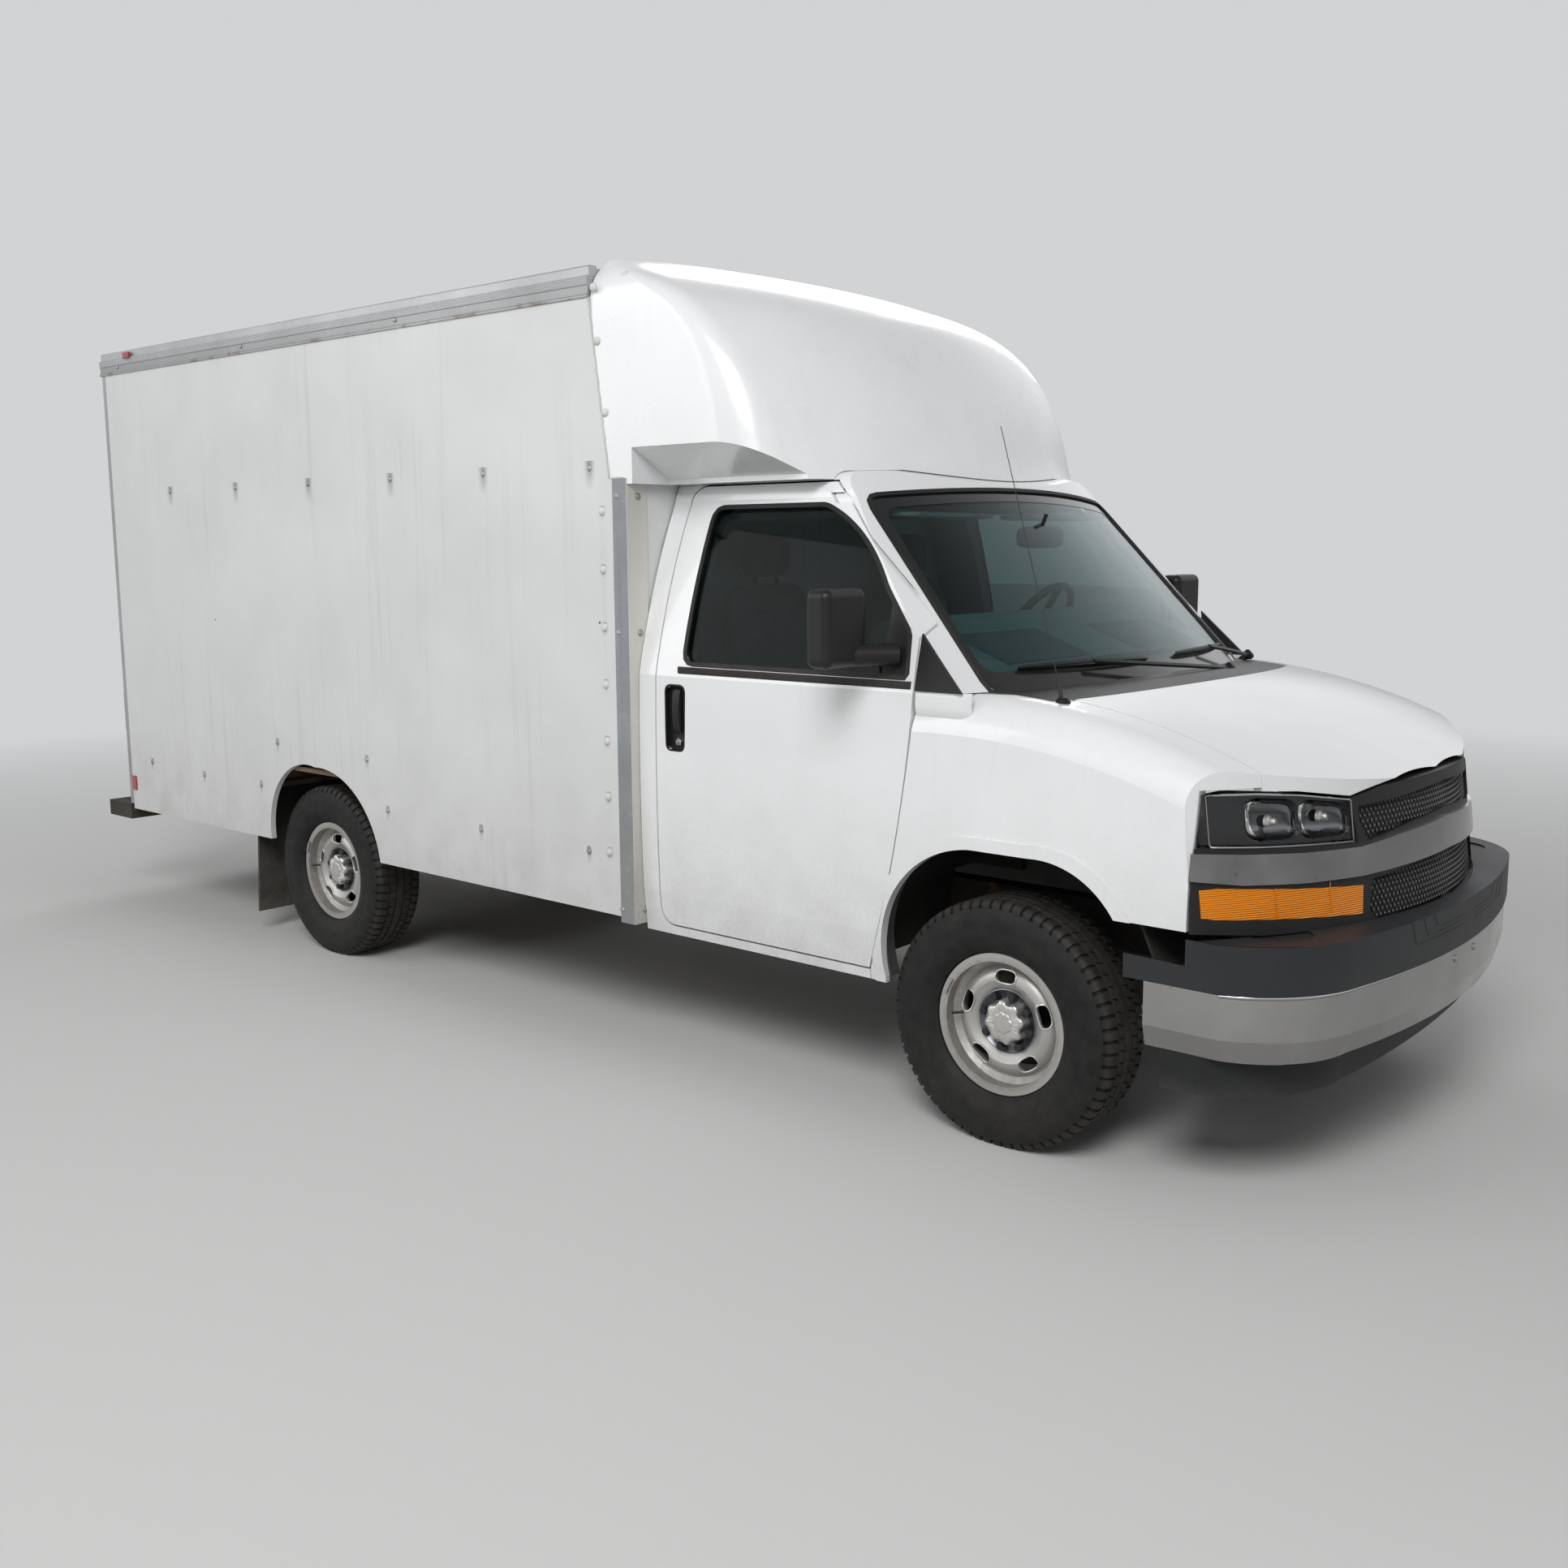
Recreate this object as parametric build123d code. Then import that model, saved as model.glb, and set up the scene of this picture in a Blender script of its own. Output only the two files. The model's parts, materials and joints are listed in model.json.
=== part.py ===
from build123d import *
import os
from functools import lru_cache
from math import cos, pi, radians, sin, sqrt

# A box truck on a van chassis, millimetres. +X is forward, +Y the driver's side, +Z up.
# Every station X is measured from the front axle, and heights from the ground.
# On export the origin moves to the middle of the vehicle's length, on the ground.

# Driving dimensions
WHEELBASE = 3531
FRONT_OVERHANG = 1066
REAR_OVERHANG = 1973
REAR_AXLE = -WHEELBASE
LENGTH = FRONT_OVERHANG + WHEELBASE + REAR_OVERHANG
VEHICLE_REAR = FRONT_OVERHANG - LENGTH
ORIGIN_SHIFT = LENGTH / 2 - FRONT_OVERHANG
SHUT_GAP = 6

# Wheels and tyres
TYRE_RADIUS = 387
TYRE_WIDTH = 245
TYRE_FLAT = 6
AXLE_HEIGHT = TYRE_RADIUS - TYRE_FLAT
RIM_RADIUS = 221
RIM_WIDTH = 178
BEAD_RADIUS = 203
DISC_EDGE = 177
SPINDLE_RADIUS = 30
BORE_RADIUS = 31
CAP_RADIUS = 62
CAP_FACE = 70
HOLE_CIRCLE = 142
HOLE_LENGTH = 74
HOLE_WIDTH = 42
HAND_HOLES = 5
NUT_CIRCLE = 84
NUT_RADIUS = 12
LUG_NUTS = 8
FRONT_TRACK_HALF = 855
REAR_TRACK_HALF = 881
KINGPIN_Y = 745

# Cab
CAB_REAR = -1480
CAB_FLOOR_Z = 735
STEP_Z = 560
FLOOR_SHEET = 30
SILL_Z = 450
CAB_WALL = 66
JAMB_DEPTH = 40
JAMB_WIDTH = 42
BODY_SHEET = 25
GLASS = 6
GLASS_SET_IN = 6
BELT_Z = 1385
WINDSHIELD_RADIUS = 2400
WINDSHIELD_BASE = (75, 1372)
WINDSHIELD_TOP = (-545, 2013)
SEAL_WIDTH = 26
SILL_HALF = 985
CREASE = (1001, 606)
SIDE_HALF = 1008
BELT_HALF = 1003
ROOF_SIDE = (806, 1985)
ROOF_CORNER = (705, 2072)
ROOF_CROWN = 2095

# Nose
NOSE_RADIUS = 1615
NOSE_TOP = (956, 1148)
NOSE_LEAN = 6.8
HOOD_SEAM_Y = 800
HOOD_REAR = 150
FACE_REAR = 632
BAR_PROUD = 12
FLARE_WIDTH = 40
FLARE_PROUD = 8

# Box body
BOX_HALF = 1045
BOX_REAR = -5234
BOX_FRONT = -1487
BOX_WALL = 25
WALL_BOTTOM = 494
RAIL_BOTTOM = 2690
RAIL_TOP = 2800
RAIL_OVERHANG = 45
ROOF_RISE = 22
DECK_Z = 790
DECK_BOARD = 30
INNER_HALF = BOX_HALF - BOX_WALL
POST_REAR = -1554
POST_BOTTOM = 473
POST_TOP = 2064
DOOR_HEAD_Z = 2560
DOOR_PANELS = 7

# Ladder frame
RAIL_INNER = 430
RAIL_OUTER = 500
RAIL_SHEET = 8
RAIL_LOW = 550
FRAME_TOP = 700

# Bumper and mounts
PLATE_SPACING = 178
PLATE_Z = 590
PLATE_HOLE_RADIUS = 3.5
HITCH_RADIUS = 12.7


def outline(rows):
    """A closed face: a row (a, b) ends a straight edge, (via a, via b, a, b) ends an arc."""
    edges = []
    start = rows[-1][-2:]
    for row in rows:
        end = row[-2:]
        if len(row) == 4:
            edges.append(ThreePointArc(start, row[:2], end))
        else:
            edges.append(Line(start, end))
        start = end
    return make_face(edges)


def side_prism(face, y_low, y_high):
    """A side view outline (X, Z) carried across from y_low to y_high."""
    return extrude(Plane.XZ.offset(-y_low) * face, amount=-(y_high - y_low))


def front_prism(face, x_low, x_high):
    """A front view outline (Y, Z) carried along from x_low to x_high."""
    return extrude(Plane.YZ.offset(x_low) * face, amount=x_high - x_low)


def plan_prism(face, z_low, z_high):
    """A plan view outline (X, Y) carried up from z_low to z_high."""
    return extrude(Plane.XY.offset(z_low) * face, amount=z_high - z_low)


def block(x_low, x_high, y_low, y_high, z_low, z_high):
    """A block between its lowest and highest corners."""
    size = (x_high - x_low, y_high - y_low, z_high - z_low)
    return Pos(x_low, y_low, z_low) * Box(*size, align=(Align.MIN, Align.MIN, Align.MIN))


def right_block(x_low, x_high, near, far, z_low, z_high):
    """A block on the right side, from near to far off the middle plane."""
    return block(x_low, x_high, -far, -near, z_low, z_high)


def rod(start, end, radius):
    """A round bar between two points."""
    axis = Vector(*end) - Vector(*start)
    return extrude(Plane(origin=start, z_dir=axis) * Circle(radius), amount=axis.length)


def mirrored(shape):
    """The same piece on the other side."""
    return mirror(shape, about=Plane.XZ)


def on_side(shape, side):
    """A right-hand piece, or its mirror image for the left side."""
    return shape if side < 0 else mirrored(shape)


def both_sides(shape):
    """A piece and its mirror image, as solids of one node."""
    return Compound(children=[Compound(shape.solids()), Compound(mirrored(shape).solids())])


def joined_halves(shape):
    """A right half joined with its mirror image."""
    return shape + mirrored(shape)


def largest(shape):
    """The largest solid of a shape."""
    return shape.solids().sort_by(SortBy.VOLUME)[-1]


def export_node(name, shape):
    """Write one node, moved so that the origin is at the middle of the vehicle."""
    moved = Pos(ORIGIN_SHIFT, 0, 0) * shape
    solids = moved.solids()
    body = solids[0] if len(solids) == 1 else Compound(children=list(solids))
    body.label = name
    export_step(body, os.path.join("parts", name + ".step"))


# Cab surfaces


@lru_cache(maxsize=None)
def cab_tunnel(inset):
    """The cabin's front view section carried along, with no windshield or roof edge cut yet."""
    floor = SILL_Z - 3 * (inset > 0)
    half = [
        (0, floor),
        (SILL_HALF - inset, floor),
        (CREASE[0] - inset, CREASE[1]),
        (SIDE_HALF - inset, 950, BELT_HALF - inset, BELT_Z - 5),
        (921 - inset, 1690, ROOF_SIDE[0] - inset, ROOF_SIDE[1] - inset / 2),
        (779 - inset * 0.7, 2043 - inset * 0.7, ROOF_CORNER[0] - inset / 2, ROOF_CORNER[1] - inset),
        (0, ROOF_CROWN - inset),
    ]
    face = outline(half)
    section = face + mirror(face, about=Plane.YZ)
    return front_prism(section, CAB_REAR - (inset > 0), WINDSHIELD_BASE[0] + 500)


@lru_cache(maxsize=None)
def cab_form(inset):
    """The cabin's outer form, or the form that lies an inset inside it."""
    return cab_tunnel(inset) & windshield_side(inset) & roof_side(inset)


def windshield_side(inset):
    """Everything behind the windshield's surface, an arc in plan carried along its slope."""
    slope = Vector(WINDSHIELD_TOP[0] - WINDSHIELD_BASE[0], 0, WINDSHIELD_TOP[1] - WINDSHIELD_BASE[1])
    front = WINDSHIELD_BASE[0] - inset * sqrt(2)
    edge_y = 1200
    radius = WINDSHIELD_RADIUS - inset
    edge_x = front - (radius - sqrt(radius**2 - edge_y**2))
    far = CAB_REAR - 2000
    face = outline([(far, -edge_y), (edge_x, -edge_y), (front, 0, edge_x, edge_y), (far, edge_y)])
    below = 1000
    above = 900
    start = Pos(-slope.X * below / slope.Z, 0, WINDSHIELD_BASE[1] - below) * face
    length = (below + above) * slope.length / slope.Z
    return extrude(start, amount=length, dir=slope)


def roof_side(inset):
    """Everything below the roof, whose front edge rolls down to the windshield."""
    top = ROOF_CROWN + 20 - inset
    rear = CAB_REAR - 50
    return side_prism(outline([
        (rear, 300),
        (200, 300),
        (200, 1700),
        (WINDSHIELD_TOP[0] + 20 - inset, WINDSHIELD_TOP[1] + 4 - inset * 0.6),
        (-640 - inset, ROOF_CROWN - 32 - inset, -800 - inset, ROOF_CROWN - inset),
        (-900 - inset, top),
        (rear, top),
    ]), -1100, 1100)


# Hood and fender sections: station, height at the middle, height of the shoulder,
# height at which the side begins
HOOD_SECTIONS = [
    (-520, 1400, 1368, 1250),
    (150, 1396, 1364, 1240),
    (462, 1352, 1296, 1170),
    (740, 1256, 1190, 1060),
    (1010, 1112, 1030, 900),
]
SHOULDER_Y = 880


@lru_cache(maxsize=None)
def hood_form(inset):
    """The hood and fenders' outer form, or the form that lies an inset inside it."""
    rings = []
    side = BELT_HALF - inset
    floor = SILL_Z - 3 * (inset > 0)
    shoulder_y = SHOULDER_Y - inset / 2
    edge_y = side - 36
    for station, middle, shoulder, side_z in HOOD_SECTIONS:
        top = shoulder - inset
        edge_z = top - (shoulder - side_z) * 0.36
        face = outline([
            (SILL_HALF - inset, floor),
            (SIDE_HALF - inset, 800, side, side_z - inset),
            (edge_y, edge_z, shoulder_y, top),
            (0, middle - inset, -shoulder_y, top),
            (-edge_y, edge_z, -side, side_z - inset),
            (-(SIDE_HALF - inset), 800, -(SILL_HALF - inset), floor),
        ])
        rings.append(Plane.YZ.offset(station - inset * (station > 900)) * face)
    return loft(rings) & nose_side(inset)


@lru_cache(maxsize=None)
def nose_side(inset):
    """Everything behind the nose, an arc in plan whose face leans forward towards the bumper."""
    radius = NOSE_RADIUS - inset
    edge_y = 1150
    front = -inset
    edge_x = front - (radius - sqrt(radius**2 - edge_y**2))
    rear = -3000
    face = outline([(rear, -edge_y), (edge_x, -edge_y), (front, 0, edge_x, edge_y), (rear, edge_y)])
    leaned = Rot(0, -NOSE_LEAN, 0) * plan_prism(face, -900, 500)
    return Pos(NOSE_TOP[0], 0, NOSE_TOP[1]) * leaned


# Outlines of the side view, each row (X, Z)

DOOR_REAR = -1395
DOOR_FRONT = -290
DOOR_BOTTOM = 487
DOOR_TOP = 2036
DOOR_ROOF_Y = 705


def door_outline(grow, rear=DOOR_REAR):
    """The door's outline in the side view, grown or shrunk all round."""
    face = outline([
        (rear, DOOR_BOTTOM),
        (rear, DOOR_TOP),
        (-752, DOOR_TOP),
        (-690, 1984),
        (-296, 1588),
        (DOOR_FRONT, BELT_Z),
        (-357, 892, -464, DOOR_BOTTOM),
    ])
    face = fillet(face.vertices().sort_by(Axis.X)[:2], 60)
    return offset(face, amount=grow, kind=Kind.INTERSECTION) if grow else face


def window_outline():
    """The opening for the door's pane and the mirror's corner plate."""
    face = outline([
        (-1272, 1425),
        (-1272, 1962),
        (-775, 1962),
        (-618, 1880, -452, 1701),
        (-330, 1560),
        (-318, 1425),
    ])
    return fillet(face.vertices().sort_by(Axis.X)[:2], 45)


PANE_FRONT = -425
ARCH_TOP = 925


def arch_outline(grow):
    """The front wheel arch in the side view."""
    return outline([
        (-394 - grow, 300),
        (-394 - grow, 470),
        (-320 - grow / 2, 800 + grow, -70, ARCH_TOP + grow),
        (130, ARCH_TOP + grow),
        (330 + grow / 2, 870 + grow, 455 + grow, 640),
        (500 + grow, 300),
    ])


def fender_outline(grow):
    """The fender's region in the side view, its rear edge moved towards the door."""
    rear = SHUT_GAP - grow
    return outline([
        (DOOR_FRONT + rear, BELT_Z - 3),
        (-357 + rear, 892, -464 + rear, DOOR_BOTTOM),
        (-464 + rear, SILL_Z),
        (FACE_REAR - 14, SILL_Z),
        (FACE_REAR, 1168),
        (1100, 1168),
        (1100, 1450),
        (120, 1450),
        (100, BELT_Z - 3),
    ])


def windshield_outline(grow):
    """The windshield's outline in the front view."""
    low = (870 + grow, WINDSHIELD_BASE[1] - grow)
    top = (776 + grow, 1984 + grow)
    face = outline([(-low[0], low[1]), low, top, (0, 2016 + grow, -top[0], top[1])])
    return fillet(face.vertices(), 50)


# Cab nodes

PILLAR_DEPTH = 60
SEAL_GAP = 8


def windshield_surround(grow):
    """The windshield's frame and the front pillars, as deep behind the glass as the pillars are."""
    return front_prism(windshield_outline(SEAL_WIDTH + grow), -800, 400) - windshield_side(PILLAR_DEPTH + grow)


def cab_shell():
    """Roof, pillars, sills and rear ring of the cab, with door jambs and the windshield's opening."""
    depth = CAB_WALL + JAMB_DEPTH
    ring = cab_form(0) - cab_form(depth)
    front = DOOR_FRONT - SHUT_GAP
    surround = windshield_surround(0)
    doorway = side_prism(door_outline(SHUT_GAP), -1200, 1200) - cab_form(CAB_WALL + SEAL_GAP)
    opening = side_prism(door_outline(-JAMB_WIDTH), -1200, 1200)
    ring = ring - (doorway - surround) - (opening - surround)
    ring -= front_prism(windshield_outline(-12), -800, 400)
    ring -= block(CAB_REAR - 60, CAB_REAR + 40, -860, 860, 500, 1960)
    ring -= block(front, 400, -1100, 1100, 300, WINDSHIELD_BASE[1] - SEAL_WIDTH)
    for side in (-1, 1):
        low, high = sorted((side * 868, side * 1100))
        ring -= block(front, 400, low, high, 300, BELT_Z)
    ring -= block(-400, 200, -838, 838, 1300, BELT_Z) & cab_form(BODY_SHEET)
    rebate = cab_form(-1) - cab_form(GLASS_SET_IN + GLASS)
    ring -= rebate & front_prism(windshield_outline(0), -800, 400)
    ring -= side_prism(arch_outline(30), -1100, 1100)
    skin = side_prism(fender_outline(3), -1200, -868) - cab_form(BODY_SHEET + 5)
    return largest(ring - skin - mirrored(skin))


def windshield():
    """The curved windshield, seated in the rebate of its surround."""
    sheet = cab_form(GLASS_SET_IN) - cab_form(GLASS_SET_IN + GLASS)
    return sheet & front_prism(windshield_outline(-1), -800, 400)


DOOR_SKIN = 10
DOOR_STEP = 20


def door(side):
    """A door as thick as the cab wall, stepped at its rear edge, with its window and handle recess."""
    skin = (cab_form(0) - cab_form(DOOR_SKIN)) & side_prism(door_outline(0), -1200, -DOOR_ROOF_Y)
    inner_outline = door_outline(0, DOOR_REAR + DOOR_STEP)
    inner = (cab_form(DOOR_SKIN) - cab_tunnel(CAB_WALL)) & side_prism(inner_outline, -1200, -DOOR_ROOF_Y)
    panel = skin + inner - windshield_surround(SHUT_GAP)
    panel -= side_prism(window_outline(), -1200, -300)
    handle = fillet(outline([(-1350, 1117), (-1257, 1117), (-1257, 1350), (-1350, 1350)]).vertices(), 25)
    recess_floor = 980
    panel -= side_prism(handle, -1100, -recess_floor)
    return on_side(largest(panel), side)


def door_glass(side):
    """The door's window pane, set behind the skin."""
    set_in = 14
    pane = (cab_form(set_in) - cab_form(set_in + GLASS)) & side_prism(window_outline(), -1200, -300)
    pane &= block(DOOR_REAR, PANE_FRONT, -1200, -300, BELT_Z, 2100)
    return on_side(pane - windshield_surround(SHUT_GAP), side)


MIRROR_HEAD = (-470, -1150, 1580)
MIRROR_SIZE = (92, 200, 240)


def door_mirror(side):
    """Door mirror: a tall head with its glass recess, a thick arm and the corner plate that holds it."""
    head = Pos(*MIRROR_HEAD) * fillet(Box(*MIRROR_SIZE).edges(), 28)
    back = MIRROR_HEAD[0] - MIRROR_SIZE[0] / 2
    glass_recess = Pos(back, MIRROR_HEAD[1], MIRROR_HEAD[2]) * Box(12, MIRROR_SIZE[1] - 44, MIRROR_SIZE[2] - 44)
    arm_z = 1494
    arm = rod((-468, -1120, arm_z), (-362, -985, arm_z), 34)
    arm -= cab_form(4)
    plate_face = outline([
        (PANE_FRONT + SHUT_GAP, 1427), (PANE_FRONT + SHUT_GAP, 1660), (-334, 1558), (-322, 1427),
    ])
    plate = (cab_form(4) - cab_form(18)) & side_prism(plate_face, -1200, -300)
    return on_side(head - glass_recess + arm + plate, side)


COWL_FRONT = 262
COWL_SIDE = 60


def cowl_region(grow):
    """The strip ahead of the windshield, bounded in plan by an arc."""
    edge = 1000
    front = COWL_FRONT + grow
    end = COWL_SIDE + grow
    return plan_prism(outline([
        (-400, -edge), (end, -edge), (front, 0, end, edge), (-400, edge),
    ]), 1250, 1500)


def cowl():
    """The black cowl between hood and windshield."""
    sheet = (hood_form(4) - hood_form(24)) & cowl_region(0)
    piece = sheet & block(-200, 400, -862, 862, 1250, 1450)
    return largest(piece - cab_form(-SHUT_GAP))


# Height of the hood's front edge above the fascia, right half of the front view: (y, z)
HOOD_EDGE = [(1100, 1168), (960, 1168), (700, 1150), (519, 1122), (380, 1145, 0, 1152)]


def fascia_zone():
    """The front view's region below the hood's edge, which rises outward over the lamps."""
    face = outline([(0, 700), (1100, 700)] + HOOD_EDGE)
    return front_prism(face + mirror(face, about=Plane.YZ), FACE_REAR - 2, 1300)


def hood():
    """The hood, down to its front lip over the grille and lamps."""
    sheet = (hood_form(0) - hood_form(BODY_SHEET)) & block(
        HOOD_REAR, 1100, -HOOD_SEAM_Y, HOOD_SEAM_Y, 900, 1500)
    return largest(sheet - fascia_zone() - cowl_region(SHUT_GAP))


def fenders():
    """Both front fenders with their wheel arches and raised flares."""
    zone = side_prism(fender_outline(0), -1200, -300)
    piece = (hood_form(0) - hood_form(BODY_SHEET)) & zone
    ring = side_prism(arch_outline(FLARE_WIDTH), -1200, -900)
    flare = (hood_form(-FLARE_PROUD) - hood_form(BODY_SHEET)) & ring & zone
    piece = piece + flare
    piece -= block(-600, 1200, -(HOOD_SEAM_Y + SHUT_GAP), 1200, 1000, 1500)
    piece -= side_prism(arch_outline(0), -1200, -300)
    piece -= block(250, 1200, -1200, -300, 300, 785)
    piece -= fascia_zone()
    piece -= cowl_region(SHUT_GAP) & block(-500, 600, -868, 868, 1000, 1500)
    piece -= block(-500, 1200, -900, 1200, 300, 900)
    return both_sides(largest(piece))


# Engine cover in the side view, outer and hollow: (X, Z)
COVER = [(-790, 705), (-330, 705), (-330, 1000), (-710, 990), (-790, 900)]
COVER_HOLLOW = [(-762, 690), (-200, 690), (-200, 972), (-698, 962), (-762, 888)]
COVER_HALF = 290


def cab_floor():
    """Floor pan with step wells at the doors, toe board, firewall and the engine cover."""
    low = CAB_FLOOR_Z - FLOOR_SHEET
    floor = block(CAB_REAR, -560, -900, 900, low, CAB_FLOOR_Z)
    for side in (-1, 1):
        near, far = sorted((side * 735, side * 900))
        floor += block(-1410, -535, near, far, STEP_Z - 25, CAB_FLOOR_Z)
        near, far = sorted((side * 750, side * 960))
        floor -= block(-1385, -560, near, far, STEP_Z, CAB_FLOOR_Z + 5)
    floor += side_prism(outline([
        (-560, low), (-530, low), (-450, 850), (-300, 1000), (-270, 1310), (50, 1330), (50, 1344),
        (-300, 1344), (-330, 1010), (-478, 866), (-560, CAB_FLOOR_Z),
    ]), -868, 868)
    floor &= cab_form(CAB_WALL + JAMB_DEPTH) + block(-600, 100, -868, 868, 900, 1400)
    floor += side_prism(outline(COVER), -COVER_HALF, COVER_HALF)
    return largest(floor - side_prism(outline(COVER_HOLLOW), -COVER_HALF + 28, COVER_HALF - 28))


DASH_HALF = 795


def dashboard():
    """The dashboard: a broad top that runs under the windshield and a face towards the seats."""
    face = outline([
        (-332, 1012), (-302, 1347), (60, 1358), (60, 1378), (-430, 1562),
        (-530, 1590, -612, 1540), (-655, 1400), (-610, 1200), (-560, 1012),
    ])
    return side_prism(face, -DASH_HALF, DASH_HALF) & cab_form(GLASS_SET_IN + GLASS + 18)


STEERING_CENTRE = (-700, 400, 1510)
STEERING_TILT = 32
STEERING_RADIUS = 185


def steering_wheel():
    """Steering wheel and the column that leaves the dashboard, tilted towards the driver."""
    tilt = radians(STEERING_TILT)
    frame = Plane(origin=STEERING_CENTRE, x_dir=(0, 1, 0), z_dir=(-cos(tilt), 0, sin(tilt)))
    piece = frame * Torus(STEERING_RADIUS, 15) + frame * Cylinder(58, 40)
    for angle in (0, 180, 270):
        piece += frame * (Rot(0, 0, angle) * Pos(STEERING_RADIUS / 2, 0, 0) * Box(STEERING_RADIUS, 34, 14))
    piece += frame * Pos(0, 0, -110) * Cylinder(34, 200)
    return largest(piece - dashboard())


# Seat outlines in the side view, rounded: outline rows (X, Z), half width, radius
SEAT_Y = 450
SEAT_FORMS = [
    ([(-1340, 930), (-830, 960), (-810, 1085), (-1290, 1065)], 245, 40),
    ([(-1345, 1040), (-1215, 1040), (-1310, 1690), (-1415, 1690)], 235, 40),
    ([(-1410, 1712), (-1325, 1712), (-1330, 1870), (-1400, 1870)], 120, 28),
]


def seats():
    """Both seats: cushion, back and head rest on a pedestal."""
    seat = block(-1240, -900, -SEAT_Y - 170, -SEAT_Y + 170, CAB_FLOOR_Z, 960)
    for rows, half, radius in SEAT_FORMS:
        form = fillet(outline(rows).vertices(), radius)
        seat += side_prism(form, -SEAT_Y - half, -SEAT_Y + half)
    for y in (-SEAT_Y - 60, -SEAT_Y + 60):
        seat += rod((-1362, y, 1650), (-1365, y, 1750), 8)
    return both_sides(seat)


# Front end outlines, right half of the front view: (y, z)
LAMP_OUTLINE = [
    (-519, 1114), (-700, 1142), (-822, 1153), (-955, 1158), (-1030, 1150), (-1030, 1018),
    (-850, 1004), (-700, 998), (-499, 990),
]
TURN_OUTLINE = [
    (-490, 866), (-718, 882), (-940, 902), (-985, 900), (-985, 824), (-946, 816), (-725, 800), (-501, 786),
]
BAR_OUTLINE = [
    (0, 1008), (-325, 994), (-505, 978), (-710, 982), (-890, 992), (-1030, 1004),
    (-1030, 930), (-890, 908), (-710, 898), (-505, 896), (-325, 902), (0, 910),
]
FACE_OUTLINE = [
    (0, 1146), (-380, 1138), (-519, 1115), (-700, 1143), (-822, 1154), (-955, 1161), (-1030, 1161),
    (-1030, 784), (-828, 764), (-560, 757), (-499, 735), (0, 732),
]
UPPER_MESH = [(0, 1030), (-250, 1016), (-458, 990), (-490, 1056), (-486, 1092), (-348, 1094), (0, 1112)]
LOWER_MESH = [(0, 904), (-240, 896), (-449, 879), (-472, 794), (-444, 763), (0, 757)]
MESH_ROW = 16
MESH_COLUMN = 46
MESH_BAR = 5


def nose_layer(inset, depth):
    """The nose's outer layer between an inset and a depth."""
    return (hood_form(inset) - hood_form(depth)) & block(FACE_REAR, 1300, -1200, 0, 650, 1250)


def front_piece(rows, inset, depth):
    """A piece of the nose layer inside a front view outline, on the right side."""
    return nose_layer(inset, depth) & front_prism(outline(rows), FACE_REAR - 30, 1350)


def headlamps():
    """Both wrap-around headlamp units."""
    return both_sides(front_piece(LAMP_OUTLINE, 0, 70))


def turn_lamps():
    """Both amber turn lamps under the chrome bar."""
    return both_sides(front_piece(TURN_OUTLINE, 0, 50))


def grille_bar():
    """The chrome bar across the whole nose."""
    return joined_halves(front_piece(BAR_OUTLINE, -BAR_PROUD, 20))


def mesh_bars():
    """Slats and ribs that follow the nose behind both mesh windows, on the right half."""
    slats = nose_side(14) - nose_side(26)
    ribs = nose_side(22) - nose_side(34)
    rows = [block(700, 1200, -520, 0, z, z + MESH_BAR) for z in range(764, 1112, MESH_ROW)]
    columns = [block(700, 1200, -y - MESH_BAR / 2, -y + MESH_BAR / 2, 740, 1130)
               for y in range(0, 500, MESH_COLUMN)]
    return (slats & Compound(rows)) + (ribs & Compound(columns))


def grille():
    """Black surround of the nose with its mesh windows and lamp pockets."""
    half = front_piece(FACE_OUTLINE, 0, 60)
    for rows in (LAMP_OUTLINE, TURN_OUTLINE):
        half -= front_prism(offset(outline(rows), amount=1), 600, 1300)
    half -= nose_layer(-BAR_PROUD - 2, 20) & front_prism(outline(BAR_OUTLINE), 600, 1300)
    bars = mesh_bars()
    for rows in (UPPER_MESH, LOWER_MESH):
        window = front_prism(outline(rows), 600, 1300)
        half = half - window + (bars & window)
    return joined_halves(largest(half))


BUMPER_SIDE = 1008
CHROME = (437, 500, 625)
PAD = (628, 765)
DAM = (325, 435)


def bumper_plan(inset, back):
    """Plan outline of a bumper layer: a shallow arc, round corners and straight ends."""
    side = BUMPER_SIDE - inset
    front = FRONT_OVERHANG - inset
    shoulder = 985 - inset
    corner = 905 - inset * 0.7
    return outline([
        (back, -side),
        (720, -side),
        (880, -corner, shoulder, -700),
        (front, 0, shoulder, 700),
        (880, corner, 720, side),
        (back, side),
    ])


def face_bar(inset, back):
    """The lower face bar's form: upright above, drawn in below its knee."""
    low, knee, top = CHROME
    upper = plan_prism(bumper_plan(inset, back), knee, top)
    lower = loft([Plane.XY.offset(low) * bumper_plan(inset + 18, back),
                  Plane.XY.offset(knee) * bumper_plan(inset, back)], ruled=True)
    return upper + lower


def front_bumper():
    """The chrome lower face bar and the brackets that hold it to the frame."""
    outer = face_bar(8, 500)
    inner = face_bar(8 + 26, 440)
    bar = outer - inner - block(0, 1200, -900, 900, 430, CHROME[0] + 1)
    for side in (-1, 1):
        low, high = sorted((side * (RAIL_INNER + 5), side * (RAIL_OUTER - 5)))
        bar += block(900, 1040, low, high, 560, 615) & outer
    for y in (-PLATE_SPACING / 2, PLATE_SPACING / 2):
        bar -= rod((FRONT_OVERHANG - 80, y, PLATE_Z), (FRONT_OVERHANG + 10, y, PLATE_Z), PLATE_HOLE_RADIUS)
    return largest(bar)


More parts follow.
